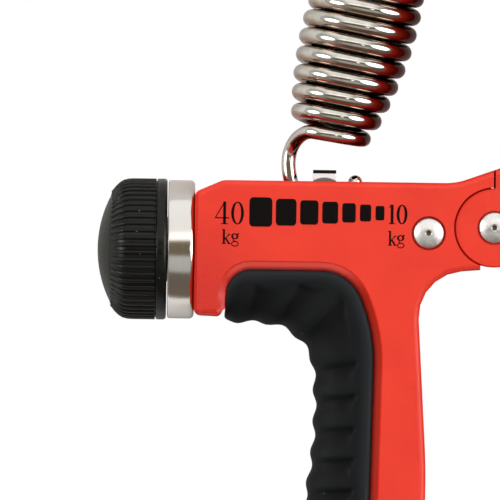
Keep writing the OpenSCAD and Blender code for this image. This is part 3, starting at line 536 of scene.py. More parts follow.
def blasted_zinc_lug(t, look):
    # The carriage is zinc plated and blasted nearly white; its lug turns dark along its top and grey at its
    # foot.
    where = add(t, "ShaderNodeTexCoord")
    parts = add(t, "ShaderNodeSeparateXYZ", {0: (where, "Object")})
    aside = add(t, "ShaderNodeMath", {0: (parts, 0), 1: LUG_X * MM}, operation="SUBTRACT")
    square = add(t, "ShaderNodeMath", {0: (aside, 0), 1: (aside, 0)}, operation="MULTIPLY")
    bowed = add(t, "ShaderNodeMath", {0: (square, 0), 1: 120.0, 2: (parts, 1)}, operation="MULTIPLY_ADD")
    dark_top = span(t, (parts, 1), 0.0, 1.0, (LUG_TOP - 0.72) * MM, (LUG_TOP - 0.6) * MM)
    foot = span(t, (bowed, 0), 1.0, 0.0, (LUG_TOP - 1.55) * MM, (LUG_TOP - 1.35) * MM)
    body = blended(t, foot, linear("#f4ffff"), linear("#8f8a84"))
    return coat(t, blended(t, dark_top, body, linear("#26261a")), (grain(t, 0.4, 3.0, 0.6), 0.7, 0.85), **METAL)


def natural_nylon(t, look):
    # Moulded natural nylon: milky, slightly waxy.
    cloud = grain(t, 2.5, 3.0)
    return coat(t, mottled(t, cloud, "#dcd8cc", "#efece2"), (cloud, 0.35, 0.5), IOR=1.53)


def turned_brass(t, look):
    # Turned brass: warm, its lathe marks drawn as a fine grain.
    marks = grain(t, 0.3, 3.0, 0.6)
    return coat(t, mottled(t, marks, "#b8923c", "#d6b35c"), (marks, 0.2, 0.35), (marks, 0.2, 0.02), **METAL)


def pad_printed_ink(t, look):
    # Pad-printed black ink: a dull, even film that follows the plastic's grain.
    fine = grain(t, 0.3, 3.0, 0.6)
    colour = mottled(t, fine, "#070504", "#120b09", 0.4, 0.8)
    return coat(t, colour, 0.6, (fine, 0.3, 0.03), IOR=1.5, Specular_IOR_Level=0.08)


def pale_light_table(t, look):
    # The ground under the object: burnt-out white to the eye, but only pale grey in what the object mirrors.
    seen = add(t, "ShaderNodeLightPath")
    glow = add(t, "ShaderNodeEmission", {"Color": (1, 1, 1, 1), "Strength": 1.0})
    paper = add(t, "ShaderNodeBsdfDiffuse", {"Color": (0.8, 0.8, 0.79, 1), "Roughness": 0.5})
    return add(t, "ShaderNodeMixShader", {0: (seen, "Is Camera Ray"), 1: (paper, 0), 2: (glow, 0)})


# ---- outlines that the pads, the spring and the housing share ---------------------


def on_lever(x, y, r=0.0):
    """A corner in the lever's own axes, turned to where the lever rests."""
    a = math.radians(GRIP_ANGLE)
    return (x * math.cos(a) - y * math.sin(a), x * math.sin(a) + y * math.cos(a), r)


def rounded_line(corners, steps=14):
    """A line through corners given as (x, y, radius), rounded by an arc at each but the first and last."""
    points = [np.array(corners[0][:2], float)]
    for before, corner, after in zip(corners, corners[1:], corners[2:]):
        a, b, c = (np.array(p[:2], float) for p in (before, corner, after))
        back, on = np.linalg.norm(a - b), np.linalg.norm(c - b)
        u, v = (a - b) / back, (c - b) / on
        half = math.acos(max(-0.9999, min(0.9999, float(u @ v)))) / 2
        reach = min(corner[2] / math.tan(half), 0.48 * back, 0.48 * on)
        r = reach * math.tan(half)
        centre = b + (u + v) / np.linalg.norm(u + v) * r / math.sin(half)
        start, end = b + u * reach - centre, b + v * reach - centre
        first = math.atan2(start[1], start[0])
        sweep = (math.atan2(end[1], end[0]) - first + 3 * math.pi) % (2 * math.pi) - math.pi
        for k in range(steps + 1):
            t = first + sweep * k / steps
            points.append(centre + r * np.array([math.cos(t), math.sin(t)]))
    return np.array([*points, np.array(corners[-1][:2], float)])


def along(line, places):
    """Points at these lengths along a line."""
    step = np.linalg.norm(np.diff(line, axis=0), axis=1)
    run = np.concatenate([[0], np.cumsum(step)])
    keep = np.concatenate([[True], step > 1e-9])
    return np.stack([np.interp(places, run[keep], line[keep, i]) for i in range(2)], axis=1)


def length_near(line, point):
    """Length along a line to where it passes nearest to a point."""
    whole = float(np.linalg.norm(np.diff(line, axis=0), axis=1).sum())
    places = np.linspace(0, whole, 4000)
    off = along(line, places) - np.array(point[:2])
    return float(places[np.argmin(np.linalg.norm(off, axis=1))])


def smooth_step(x):
    x = np.clip(x, 0.0, 1.0)
    return x * x * (3 - 2 * x)


FINGER_GRIP = [
    (SIDE_X - 1.2, -NECK_BOTTOM - 1.5, 11),
    (SIDE_X + 0.1, -38, 120),
    (SIDE_X - 3.6, FOOT_Y * 0.64, 80),
    (SIDE_X - 0.6, FOOT_Y * 0.9, 45),
]
LEVER_GRIP = [on_lever(10.4, -24, 30), on_lever(14.2, FOOT_Y * 0.66, 80), on_lever(11.2, FOOT_Y * 0.9, 45)]


def pad_mesh(name, outer, inner, pairs, first_crest, half, core_half, sizes):
    """A moulded grip pad wrapped round its core, its ripples scooped in from its outer edge.

    outer and inner are its two edge lines, pairs the points of both that face each other, half and core_half
    the half depths of the pad and of its core.
    """
    pitch, deep = sizes.ripple_pitch / MM, sizes.scoop_depth / MM
    edge_wide, edge_deep, proud = 7.5, 5.5, 0.5  # the outer edge's rounding, and how far it stands out
    lip, plain, end_round = 0.9, 3.7, 0.75  # the inner edge's rounding and plain rim, the ends' rounding
    wall = 4.0  # how far in from the outer edge the core starts
    keys = np.array([(length_near(outer, o), length_near(inner, i)) for o, i in pairs])
    start, stop = keys[0, 0], keys[-1, 0]
    even, close = np.arange(start, stop, 0.3), np.array([0, 0.08, 0.25, 0.5])
    s = np.concatenate([start + close, even[even > start + 0.7], stop - close])
    s = np.unique(np.round(s[(s >= start) & (s <= stop)], 4))
    edge, across = along(outer, s), along(inner, np.interp(s, keys[:, 0], keys[:, 1])) - along(outer, s)
    width = np.linalg.norm(across, axis=1)
    across /= width[:, None]
    near_end = np.minimum(s - start, stop - s)
    sag = end_round - np.sqrt(np.clip(end_round**2 - (end_round - near_end) ** 2, 0, None))
    drop = np.where(near_end < end_round, sag, 0.0)
    phase = ((s - first_crest) / pitch) % 1.0
    edge_wave = (1 - np.cos(2 * math.pi * phase)) / 2
    # a scoop starts with a steep wall after the crest and runs out towards the next one
    after = (phase - 0.17) % 1.0
    scoop = smooth_step(after / 0.2) * (1 - smooth_step((after - 0.16) / 0.84)) ** 0.8
    rows, painted_tints = [], []
    for i, w in enumerate(width):
        wide, h = min(edge_wide, 0.75 * w), half - drop[i]
        scoop_end = max(w - plain + 0.9 * smooth_step((0.45 - after[i]) / 0.3), 0.45 * w)
        # (across, height, share of the side, share of the face) from the outer edge to the inner one
        section = []
        for t in np.radians(np.arange(0, 91, 7.5)):
            x, z = wide * (1 - math.cos(t)) - proud, h - edge_deep + edge_deep * math.sin(t)
            section.append([x, z, 1 - math.sin(t) ** 3, math.sin(t)])
        section += [[x, h, 0.0, 1.0] for x in np.linspace(wide - proud, w - lip, 15)[1:]]
        for t in np.radians([30, 60, 90]):
            section.append([w - lip + lip * math.sin(t), h - lip * (1 - math.cos(t)), 0.0, 0.0])
        line, painted_tint = [], []
        for x, z, side_share, face_share in section:
            fade = 1 - smooth_step((x - scoop_end + 0.9) / 0.9)
            dip = deep * scoop[i] * face_share * fade
            line.append((x + drop[i] * (1 - face_share) + edge_wave[i] * 0.7 * side_share, z - dip))
            # painted light for the finish: a sheen towards the inner edge and shade in the scoops
            painted_tint.append((float(smooth_step(1 - (w - x) / 3.0)), scoop[i] * face_share * fade))
        front = line[::-1] + [(line[0][0], line[0][1] * k) for k in (0.6, 0.2)]
        back = [(x, -z) for x, z in front[::-1]]
        inside = [(w, -core_half), (wall, -core_half), (wall, core_half), (w, core_half)]
        painted_tint = painted_tint[::-1] + [(0.0, 0.0)] * 2
        painted_tints += painted_tint + painted_tint[::-1] + [(0.0, 0.0)] * 4
        foot = edge[i] + np.array(PIVOT)
        rows.append([(*(foot + across[i] * x), z + MID) for x, z in front + back + inside])
    n, last = len(rows[0]), len(rows) - 1
    faces = [
        (j * n + k, j * n + (k + 1) % n, (j + 1) * n + (k + 1) % n, (j + 1) * n + k)
        for j in range(last)
        for k in range(n)
    ]
    faces += [tuple(range(n)), tuple(last * n + k for k in range(n - 1, -1, -1))]
    obj = mesh_of(name, [point for row in rows for point in row], faces)
    # the painted sheen is stored as rim, the painted shade as scoop
    for k, label in enumerate(("rim", "scoop")):
        keep_values(obj.data, label, [t[k] for t in painted_tints])
    return creased(outward(obj), 50)


# ---- spring ------------------------------------------------------------------

SPRING_LEAN = 14.7  # lean of the barrel's axis, 1.8 degrees more than the line from hook to hook
HOOK_TO_BARREL = 9.83
BARREL_FULL = 0.19  # how much fuller the barrel's wire is drawn than the hooks'


def barrel_axes():
    """The barrel's own axis and the direction across it."""
    a = math.radians(SPRING_LEAN)
    return np.array([math.sin(a), math.cos(a), 0.0]), np.array([math.cos(a), -math.sin(a), 0.0])


def spring_line(steps):
    """The wire's centre line (lower hook, barrel, upper hook), the barrel's middle and the line of force."""
    wire, gap, turns_each_way = 2.7, 0.8, 6
    end_r, mid_r, power, loop_r, end_open = 6.1, 9.4, 1.85, 5.8, 0.5
    lean = math.radians(12.9)
    last = 35 + 360 * turns_each_way
    pitch = wire + gap
    half = pitch * last / 360
    low = np.array([HOOK_X - 0.6, HOOK_Y])
    force = np.array([math.sin(lean), math.cos(lean)])
    middle = low + (half + HOOK_TO_BARREL) * force
    axis, side = barrel_axes()

    def coil(angle):
        t = angle / last
        r = mid_r - (mid_r - end_r) * abs(t) ** power
        g = math.radians(angle)
        rise = pitch * angle / 360 + end_open * math.copysign(t**4, t)
        spoke = math.sin(g) * side + np.array([0, 0, math.cos(g)])
        return np.array([*middle, 0.0]) + axis * rise + r * spoke

    first = coil(-last)
    way = coil(-last + 2) - first
    way /= np.linalg.norm(way)

    def hook_line(shift, turn, lead, pull_in, pull_out, flat=0.0):
        """Tip, loop and leg of a hook; the leg stays on the mid plane for its flat share."""
        centre = np.array([low[0] + shift, low[1], 0.0])
        tip = [centre + np.array([loop_r + 0.2 * k / 3, 2.0 * k / 3, 0]) for k in (3, 2, 1)]
        bends = np.radians(np.linspace(0, turn - 180, 2 * steps))
        loop = [centre + loop_r * np.array([math.cos(d), math.sin(d), 0.0]) for d in bends]
        start = loop[-1] + np.array([*lead, 0.0])
        g = math.radians(turn)
        enter = pull_in * np.array([-math.sin(g), math.cos(g), 0.0])
        leg = []
        for t in np.linspace(0, 1, 2 * steps + 1):
            ease = 3 * t**2 - 2 * t**3
            p = start * (1 - ease) + enter * (t**3 - 2 * t**2 + t) + first * ease
            p += pull_out * way * (t**3 - t**2)
            p[2] += first[2] * (float(smooth_step((t - flat) / (1 - flat))) - ease)
            leg.append(p)
        line = tip + loop + (leg if lead[1] else leg[1:])[:-1]
        for _ in range(6):
            even = [(a + 2 * b + c) / 4 for a, b, c in zip(line, line[1:], line[2:])]
            line = [line[0], *even, line[-1]]
        return line

    lower, upper = hook_line(0.6, 25, (0, 0), 30, 8, 0.35), hook_line(0.0, 0, (-0.3, 3.4), 15, 13)
    upper = [np.array([2 * middle[0] - p[0], 2 * middle[1] - p[1], p[2]]) for p in upper[::-1]]
    turns = [coil(-last + 2 * last * k / (steps * 26)) for k in range(steps * 26 + 1)]
    return [(x + PIVOT[0], y + PIVOT[1], z + MID) for x, y, z in lower + turns + upper], middle, force


def paint_wire_shade(mesh, middle):
    """Stores painted shade on the wire: inside the barrel, under the turns and beside the lever's arm."""
    count = len(mesh.vertices)
    places, normal = np.empty(count * 3), np.empty(count * 3)
    mesh.vertices.foreach_get("co", places)
    mesh.vertex_normals.foreach_get("vector", normal)
    places, normal = places.reshape(-1, 3) / MM, normal.reshape(-1, 3)
    axis, side = barrel_axes()
    offset = places - np.array([middle[0] + PIVOT[0], middle[1], MID])
    along_axis = offset @ axis
    out = offset - along_axis[:, None] * axis
    out /= np.linalg.norm(out, axis=1)[:, None]
    hook_from, hook_over = 21.5, 2.5
    hook = smooth_step((np.abs(along_axis) - hook_from) / hook_over)
    outside = np.maximum(0.1 + 0.9 * np.clip(((out * normal).sum(1) + 0.35) / 0.55, 0, 1), hook)
    arm_side = np.maximum(1 - 0.88 * np.clip((out @ side - 0.45) / 0.37, 0, 1), hook)
    # painted shade: plating is a darkening factor, under the share of painted brown underneath
    keep_values(mesh, "plating", outside * arm_side)
    keep_values(mesh, "under", np.clip((-0.12 - normal @ axis) / 0.5, 0, 1))


# ---- panel values --------------------------------------------------------------


def colour(name, description, default):
    return StringProperty(name=name, description=description, default=default)


def length(name, description, mm):
    return FloatProperty(name=name, description=description, default=mm * MM, unit="LENGTH")


def count(name, description, default, low, high):
    return IntProperty(name=name, description=description, default=default, min=low, max=high)


class GripColours(bpy.types.PropertyGroup):
    """Hex colours that the finishes are made from"""

    shell: colour("Shell", "Red of the plastic shells", "#ea2f14")
    shell_deep: colour("Shell, deep", "Deeper red in the shells' clouding", "#e3280f")
    # painted shade: the deeper red painted on the neck's lower corner and in the shells' creases
    shell_shade: colour("Shell, far corner", "Red far from the gate", "#c01403")
    shell_light: colour("Shell, grain", "Lighter red on the grain's crests", "#f2502e")
    rubber: colour("Pads", "Black of the rubber pads", "#101213")
    rubber_bloom: colour("Pads, bloom", "Bloomed black of the rubber pads", "#131517")
    # painted sheen along the pads' inner rim
    rubber_rim_sheen: colour("Pads, rim", "Bloom along the rim of the rubber pads", "#25292d")
    knob: colour("Knob", "Black of the knob's barrel", "#090a09")
    cap: colour("Cap", "Dark grey of the knob's cap", "#181914")
    cap_light: colour("Cap, light", "Lighter grey of the knob's cap", "#1f201b")
    chrome: colour("Spring", "Chrome of the spring wire", "#dcdbd6")
    chrome_deep: colour("Spring, dim", "Dimmer chrome of the spring wire", "#c9c6bd")
    # painted brown reflection and shade on the spring's undersides
    chrome_underside_shade: colour("Spring, underside", "Thin plating under the turns", "#cdb0a0")
    nickel: colour("Rivets", "Nickel plating of the rivets", "#f2f2ef")
    ring: colour("Ring", "Steel of the ring behind the knob", "#e0ddd8")
    zinc: colour("Inner steel", "Zinc plating of the inner steel pieces", "#c4c7c6")


class GripSizes(bpy.types.PropertyGroup):
    """Sizes of the pieces' detail, and where the camera stands"""

    wire_radius: length("Wire radius", "Radius of the spring wire", 1.35)
    wire_sides: count("Wire sides", "Sides of the swept wire", 20, 8, 48)
    ripple_pitch: length("Ripple pitch", "Distance between two grip ripples", 5.85)
    scoop_depth: length("Scoop depth", "Depth of a ripple's scoop in the pad's face", 0.6)
    ribs: count("Knob ribs", "Ribs round the knob", 58, 12, 90)
    rib_height: length("Rib height", "Height of a knob rib", 0.35)
    rib_width: length("Rib width", "Width of a knob rib", 0.86)
    ink: length("Ink film", "Thickness of the printed marks", 0.03)
    camera_away: length("Camera distance", "From the camera to the middle of the housing", 3000.0)
    view_wide: length("View width", "Width that the camera sees at the middle of the housing", 95.49)


# ---- operators ------------------------------------------------------------------


def shell_pair(kind, name, body):
    """Copies the front and rear shell of a handle in red plastic."""
    for side in ("front", "rear"):
        node = f"{kind}_shell_{side}"
        shell = paint(merged_copy(node, f"{name}_{side}"), finish_of(red_abs_spark_textured))
        place(shell, body, "red_plastic", node)


class GRIP_OT_finger_handle(bpy.types.Operator):
    """Builds the two shells of the finger handle"""

    bl_idname = "grip.finger_handle"
    bl_label = "Finger handle shells"

    def execute(self, context):
        shell_pair("finger", "housing", "finger_handle")
        return {"FINISHED"}


class GRIP_OT_palm_lever(bpy.types.Operator):
    """Builds the two shells of the palm lever"""

    bl_idname = "grip.palm_lever"
    bl_label = "Palm lever shells"

    def execute(self, context):
        shell_pair("lever", "lever", "palm_lever")
        return {"FINISHED"}


class GRIP_OT_pads(bpy.types.Operator):
    """Builds the rippled rubber pads of both handles"""

    bl_idname = "grip.pads"
    bl_label = "Rubber pads"

    def execute(self, context):
        rubber = finish_of(black_tpe_moulded)
        sizes = context.scene.grip_sizes
        outer = rounded_line([(PAD_LEFT - 6, -NECK_BOTTOM - 0.6), *FINGER_GRIP, (SIDE_X + 3.4, FOOT_Y)])
        inner = rounded_line(
            [
                (PAD_LEFT, -NECK_BOTTOM - 0.2),
                (PAD_LEFT + 0.8, PAD_TOP, 4.4),
                (PAD_INNER - 4.6, PAD_TOP, 8),
                (PAD_INNER + 0.2, -20.5, 30),
                (PAD_INNER - 0.6, FOOT_Y * 0.66, 90),
                (PAD_INNER - 3.2, PAD_END),
            ]
        )
        pairs = [
            ((PAD_LEFT, -NECK_BOTTOM), (PAD_LEFT, -NECK_BOTTOM + 3.4)),
            ((PAD_LEFT + 3.0, -NECK_BOTTOM), (PAD_LEFT + 4.6, PAD_TOP)),
            ((SIDE_X - 9.5, -NECK_BOTTOM), (PAD_INNER - 15, PAD_TOP)),
            ((SIDE_X - 3.6, -NECK_BOTTOM - 3), (PAD_INNER - 6.5, PAD_TOP - 0.6)),
            ((SIDE_X - 1.4, -NECK_BOTTOM - 5.8), (PAD_INNER - 1.2, -14.5)),
            ((SIDE_X - 0.3, -27.2), (PAD_INNER, -25.2)),
            ((SIDE_X, -38), (PAD_INNER, -37.2)),
            ((SIDE_X - 4, -80), (PAD_INNER, -80)),
            ((SIDE_X, PAD_END), (PAD_INNER - 3.2, PAD_END)),
        ]
        core = MID - PAD_SINK - RUBBER + RUBBER_FIT
        pad = pad_mesh("finger_grip_pad", outer, inner, pairs, 8.6, MID - PAD_SINK, core, sizes)
        place(paint(pad, rubber), "finger_handle", "pad_rubber", "finger_pad")

        outer = rounded_line([(27.6, 10), *LEVER_GRIP, on_lever(8.2, FOOT_Y)])[::-1]
        inner = rounded_line(
            [on_lever(1.6, PAD_END), on_lever(0.4, -41, 20), on_lever(6.5, -28, 6), on_lever(11.5, -28)]
        )
        pairs = [
            (on_lever(10.6, PAD_END), on_lever(1.6, PAD_END)),
            (on_lever(14, -80), on_lever(1.2, -80)),
            (on_lever(12.5, -46), on_lever(0.6, -44)),
            (on_lever(11, -33), on_lever(4, -33)),
            (on_lever(10.4, -28), on_lever(7.6, -28)),
        ]
        core = MID - RUBBER - LEVER_SINK + RUBBER_FIT
        pad = pad_mesh("palm_grip_pad", outer, inner, pairs, 3.0, MID, core, sizes)
        place(paint(pad, rubber), "palm_lever", "pad_rubber", "palm_pad")
        return {"FINISHED"}


class GRIP_OT_spring(bpy.types.Operator):
    """Winds the barrel spring with its two hooks"""

    bl_idname = "grip.spring"
    bl_label = "Coil spring"

    def execute(self, context):
        sizes = context.scene.grip_sizes
        line, middle, force = spring_line(18)
        # the wire is drawn fuller than the CAD's in the barrel and fades to its size before the hooks
        fade_from, fade_over = 17, 5
        barrel = np.array([(x - PIVOT[0] - middle[0], y - middle[1]) for x, y, _ in line])
        full = 1 + BARREL_FULL * (1 - smooth_step((np.abs(barrel @ force) - fade_from) / fade_over))
        mesh = line_mesh("spring_line", line, sizes.wire_radius / MM, full)
        values = {"Wire radius": sizes.wire_radius, "Sides": sizes.wire_sides}
        spring = grown("barrel_spring", wire_tree(finish_of(chromed_spring_wire)), mesh, values)
        creased(outward(spring), 50)
        paint_wire_shade(spring.data, middle)
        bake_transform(spring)
        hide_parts("coil_spring")
        return {"FINISHED"}


class GRIP_OT_knob(bpy.types.Operator):
    """Builds the ribbed knob and its domed cap"""

    bl_idname = "grip.knob"
    bl_label = "Tension knob"

    def execute(self, context):
        sizes = context.scene.grip_sizes
        black, grey = finish_of(black_abs_satin), finish_of(grey_abs_cap)
        r, k, drum = KNOB_R, KNOB_LONG, KNOB_R - 0.35
        at = (NECK_X - RING_LONG - KNOB_GAP - k + PIVOT[0], -SCREW_DROP, MID)
        # (radius, place along the axis): shoulder beside the cap, drum, plain rim, hollow, boss, cap's seat
        shoulder = [(11.4, 3.26), (12.0, 3.78), (12.5, 4.4), (12.86, 5.1), (13.05, 5.9), (drum, 6.7)]
        profile = [(10.2, 2.55), (10.32, 2.42), *shoulder]
        profile += [(drum, k - 2.35), (drum - 0.12, k - 2.2), (drum - 0.12, k - 2.0), (r - 0.1, k - 1.86)]
        profile += [(r, k - 1.7), (r, k - 0.5), (r - 0.12, k - 0.2), (r - 0.4, k), (r - 2.4, k)]
        profile += [(r - 2.4, 6.4), (6.2, 6.4), (6.2, k - 1.1), (4.1, k - 1.1), (4.1, 5.2)]
        profile += [(8.6, 5.2), (8.6, 3.9), (10.2, 3.9)]
        barrel = paint(lathe("knob_barrel", profile, 144, at, "X"), black)
        # a rib rises out of the shoulder and follows it round onto the drum
        wide, high = sizes.rib_width / MM, sizes.rib_height / MM
        radii, places = zip((10.75, 2.7), *shoulder, (drum, k - 1.95))
        spine = []
        for h in [*np.arange(2.85, 7.0, 0.25), 8.0, 9.5, 10.6, k - 2.1]:
            rise = high * (0.45 + 0.55 * float(smooth_step((h - 2.9) / 2.4)))
            spine.append((h * MM, (np.interp(h, places, radii) + rise - wide / 2) * MM, 0.0))
        values = {"Ribs": sizes.ribs, "Rib width": sizes.rib_width, "Centre": tuple(c * MM for c in at)}
        ribs = grown("knob_ribs", rib_tree(black), carrier_mesh("rib_line", spine, joined=True), values)
        place(barrel, "adjuster", "black_plastic", "knob_body")
        place(ribs, "adjuster", "black_plastic")

        cap_r, deep, back = 10.15, 2.45, 3.85
        big = (cap_r * cap_r + deep * deep) / (2 * deep)
        profile = [(cap_r * j / 24, big - math.sqrt(big * big - (cap_r * j / 24) ** 2)) for j in range(24)]
        profile += [(cap_r - 0.12, deep - 0.02), (cap_r, deep + 0.12), (cap_r, back), (8.5, back)]
        profile += [(8.5, 5.1), (7.3, 5.1), (7.3, back), (0, back)]
        cap = paint(lathe("knob_dome", profile, 144, at, "X"), grey)
        place(cap, "adjuster", "grey_plastic", "knob_cap")
        return {"FINISHED"}


class GRIP_OT_ring(bpy.types.Operator):
    """Builds the polished ring between the knob and the housing"""

    bl_idname = "grip.ring"
    bl_label = "Steel ring"

    def execute(self, context):
        r, long, bore, bend, spigot = RING_R, RING_LONG, 6.4, 0.9, RING_R - 2.65 + 0.05
        profile = [(bore, 0), (r - 0.35, 0), (r - 0.1, 0.1), (r, 0.35)]
        for a in np.radians(range(0, 91, 9)):
            profile.append((r - bend + bend * math.cos(a), long - bend - 0.05 + bend * math.sin(a)))
        profile += [(spigot, long - 0.05), (spigot, 1.25), (bore, 1.25)]
        at = (NECK_X - long + PIVOT[0], -SCREW_DROP, MID)
        ring = paint(lathe("steel_ring", profile, 160, at, "X"), finish_of(turned_polished_steel))
        place(ring, "finger_handle", "ring_steel", "ferrule")
        return {"FINISHED"}


def rivet_profile(shank, low, high, head=2.9, dome=1.49, rise=0.8):
    """Half section of a rivet with a low dimpled dome at each end."""
    big = (head * head + rise * rise) / (2 * rise)
    rim = [(x, math.sqrt(big * big - x * x) - big + dome) for x in np.linspace(0.72, head - 0.2, 16)]
    face = [(0.0, dome - 0.42), (0.25, dome - 0.4), (0.48, dome - 0.3), (0.6, dome - 0.14), *rim]
    face += [(head - 0.08, dome - rise + 0.02), (head, dome - rise - 0.1), (head, 0.0), (head - 0.05, -0.02)]
    top = [(x, high + y) for x, y in face]
    bottom = [(x, low - y) for x, y in face]
    return bottom + [(shank, low + 0.02), (shank, high - 0.02)] + top[::-1]


class GRIP_OT_rivets(bpy.types.Operator):
    """Builds the main pivot's rivet, the housing's rivet and the spring's anchor pin"""

    bl_idname = "grip.rivets"
    bl_label = "Rivets"

    def execute(self, context):
        nickel, dimple_shade = finish_of(nickel_plated_steel), finish_of(shaded_nickel_dimple)
        seat, face, cheek = 1.78, THICK - 1 + 0.02, THICK - LEVER_SINK - 1 + 0.42
        place_x = PIVOT[0] + RIVET_X
        dimple = 0.5 * MM
        for name, node, body, shank, x, y, high in (
            ("housing_rivet", "body_rivet", "finger_handle", RIVET_SHANK, place_x, RIVET_Y, face),
            ("pivot_rivet_pin", "pivot_rivet", "palm_lever", 2.0, *PIVOT, cheek),
            ("spring_anchor_pin", "anchor_pin", "palm_lever", 1.6, *ANCHOR, cheek),
        ):
            rivet = paint(lathe(name, rivet_profile(shank, seat, high), 72, (x, y, 0)), nickel)
            rivet.data.materials.append(dimple_shade)
            # painted shade: faces near the rivet's centre take the dimple's dark finish
            for side in rivet.data.polygons:
                off = math.hypot(side.center.x - x * MM, side.center.y - y * MM)
                side.material_index = int(off < dimple)
            place(rivet, body, "plated_steel", node)
        return {"FINISHED"}


class GRIP_OT_shell_screws(bpy.types.Operator):
    """Sets the cross-head screws of both shells"""

    bl_idname = "grip.shell_screws"
    bl_label = "Shell screws"

    def execute(self, context):
        zinc = finish_of(zinc_plated_steel)
        head, shank, long, core = 2.7, 1.45, MID + 4.5, 1.45 - 0.3
        profile = [(0, 0.02), (2.3, 0.0), (2.55, 0.08), (head, 0.3), (head, 1.6), (head - 0.2, 1.9)]
        profile += [(shank, 1.9)]
        z = 2.6
        while z < long - 1.2:
            profile += [(shank, z), (core, z + 0.35), (core, z + 0.5)]
            z += 0.85
        screw = lathe("screw_pattern", [*profile, (core, long - 0.5), (0, long)], 32)
        cross = link_in(bpy.data.objects.new("cross_cut", bpy.data.meshes.new("cross_cut")))
        b = bmesh.new()
        for wide, high in ((0.6, 3.0), (3.0, 0.6)):
            made = bmesh.ops.create_cube(b, size=1.0)
            bmesh.ops.scale(b, vec=(wide * MM, high * MM, 1.8 * MM), verts=made["verts"])
        b.to_mesh(cross.data)
        b.free()
        cut = screw.modifiers.new("cross", "BOOLEAN")
        cut.object, cut.operation, cut.solver, cut.use_self = cross, "DIFFERENCE", "EXACT", True
        creased(settle(screw), 35)
        bpy.data.objects.remove(cross)
        tree = instance_tree(zinc)
        for name, node, body in (
            ("finger_handle_screws", "finger_shell_screws", "finger_handle"),
            ("lever_screws", "lever_shell_screws", "palm_lever"),
        ):
            carrier = carrier_mesh(name, [(x, y, 1.05 * MM) for x, y in screw_places(node)])
            place(grown(name, tree, carrier, {"Piece": screw}), body, "plated_steel", node)
        bpy.data.objects.remove(screw)
        return {"FINISHED"}


def screw_places(node):
    """Centres of the separate screws of a CAD node, from its loose parts."""
    b = bmesh.new()
    b.from_mesh(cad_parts[node].data)
    bmesh.ops.remove_doubles(b, verts=b.verts, dist=2e-6)
    left, places = set(b.verts), []
    while left:
        stack, group = [left.pop()], []
        while stack:
            v = stack.pop()
            group.append(v.co.copy())
            for e in v.link_edges:
                o = e.other_vert(v)
                if o in left:
                    left.remove(o)
                    stack.append(o)
        xs, ys = [c.x for c in group], [c.y for c in group]
        places.append(((min(xs) + max(xs)) / 2, (min(ys) + max(ys)) / 2))
    b.free()
    return sorted(places)


class GRIP_OT_adjuster(bpy.types.Operator):
    """Builds the threaded screw, the carriage and the inner bushes"""

    bl_idname = "grip.adjuster"
    bl_label = "Adjusting screw and carriage"

    def execute(self, context):
        zinc, nylon, brass = finish_of(zinc_plated_steel), finish_of(natural_nylon), finish_of(turned_brass)
        start, end = ((v / MM).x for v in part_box("lead_screw"))
        collar = NECK_X + 1.75 + PIVOT[0]
        seat = NECK_X - RING_LONG - KNOB_GAP - 1.1 + PIVOT[0]
        # the thread ends beside the carriage at its softest setting
        screw_end, stop = RIVET_X - RIVET_SHANK - 0.6, HOOK_X + CARRIAGE_OUT + 3.5 + 0.5 - 0.3
        tip = end - (screw_end - stop)
        rod = [(0, start), (2.3, start), (2.5, start + 0.25), (2.5, seat), (2.95, seat + 0.02)]
        rod += [(2.95, collar), (4.4, collar + 0.1), (4.6, collar + 0.3), (4.6, collar + 1.3)]
        rod += [(4.4, collar + 1.5), (SCREW_R, collar + 1.5), (SCREW_R, tip - 0.2), (2.0, tip)]
        rod += [(2.0, end - 0.3), (1.7, end), (0, end)]
        screw = paint(lathe("adjusting_screw", rod, 64, (0, -SCREW_DROP, MID), "X"), zinc)
        crest, first, sides = SCREW_R + 0.02, collar + 2.2, 24
        line = []
        for i in range(int((tip - 0.6 - first) * sides) + 1):
            a = 2 * math.pi * i / sides
            line.append((first + i / sides, -SCREW_DROP + crest * math.cos(a), MID + crest * math.sin(a)))
        values = {"Wire radius": 0.34 * MM, "Sides": 6}
        thread = grown("adjusting_screw_thread", wire_tree(zinc), line_mesh("thread_line", line), values)
        place(screw, "adjuster", "plated_steel", "lead_screw")
        place(thread, "adjuster", "plated_steel")
        lug = finish_of(blasted_zinc_lug)
        for node, name, edge, finish, body, slot in (
            ("carriage", "screw_carriage", 0.12, lug, "carriage", "plated_steel"),
            ("tail_block", "screw_end_block", 0.2, zinc, "finger_handle", "plated_steel"),
            ("anchor_roller", "spring_roller", 0.2, zinc, "roller", "plated_steel"),
            ("screw_bush", "neck_bush", 0.15, nylon, "finger_handle", "white_plastic"),
            ("thrust_washer", "knob_washer", 0.1, nylon, "adjuster", "white_plastic"),
            ("pivot_washers", "tongue_washers", 0.08, nylon, "finger_handle", "white_plastic"),
            ("pivot_bush", "tongue_bush", 0.15, brass, "finger_handle", "brass"),
            ("knob_insert", "knob_brass_insert", 0.12, brass, "adjuster", "brass"),
            ("knob_nut", "knob_clamp_nut", 0.08, zinc, "adjuster", "plated_steel"),
        ):
            place(paint(merged_copy(node, name, 30, edge), finish), body, slot, node)
        return {"FINISHED"}


# ---- printed scale ---------------------------------------------------------------


def stroke_strip(line, widths):
    """A flat strip of the given widths round a line: its points and quads."""
    line, points = np.array(line, float), []
    widths = np.broadcast_to(widths, len(line))
    for i, p in enumerate(line):
        way = line[min(i + 1, len(line) - 1)] - line[max(i - 1, 0)]
        way = way / np.linalg.norm(way)
        side = np.array([-way[1], way[0]]) * widths[i] / 2
        points += [p + side, p - side]
    return points, [(2 * i, 2 * i + 1, 2 * i + 3, 2 * i + 2) for i in range(len(line) - 1)]


def ring_of(x, y, wide, high):
    a = np.radians(np.linspace(0, 360, 28))
    return np.stack([x + wide * np.cos(a), y + high * np.sin(a)], axis=1)


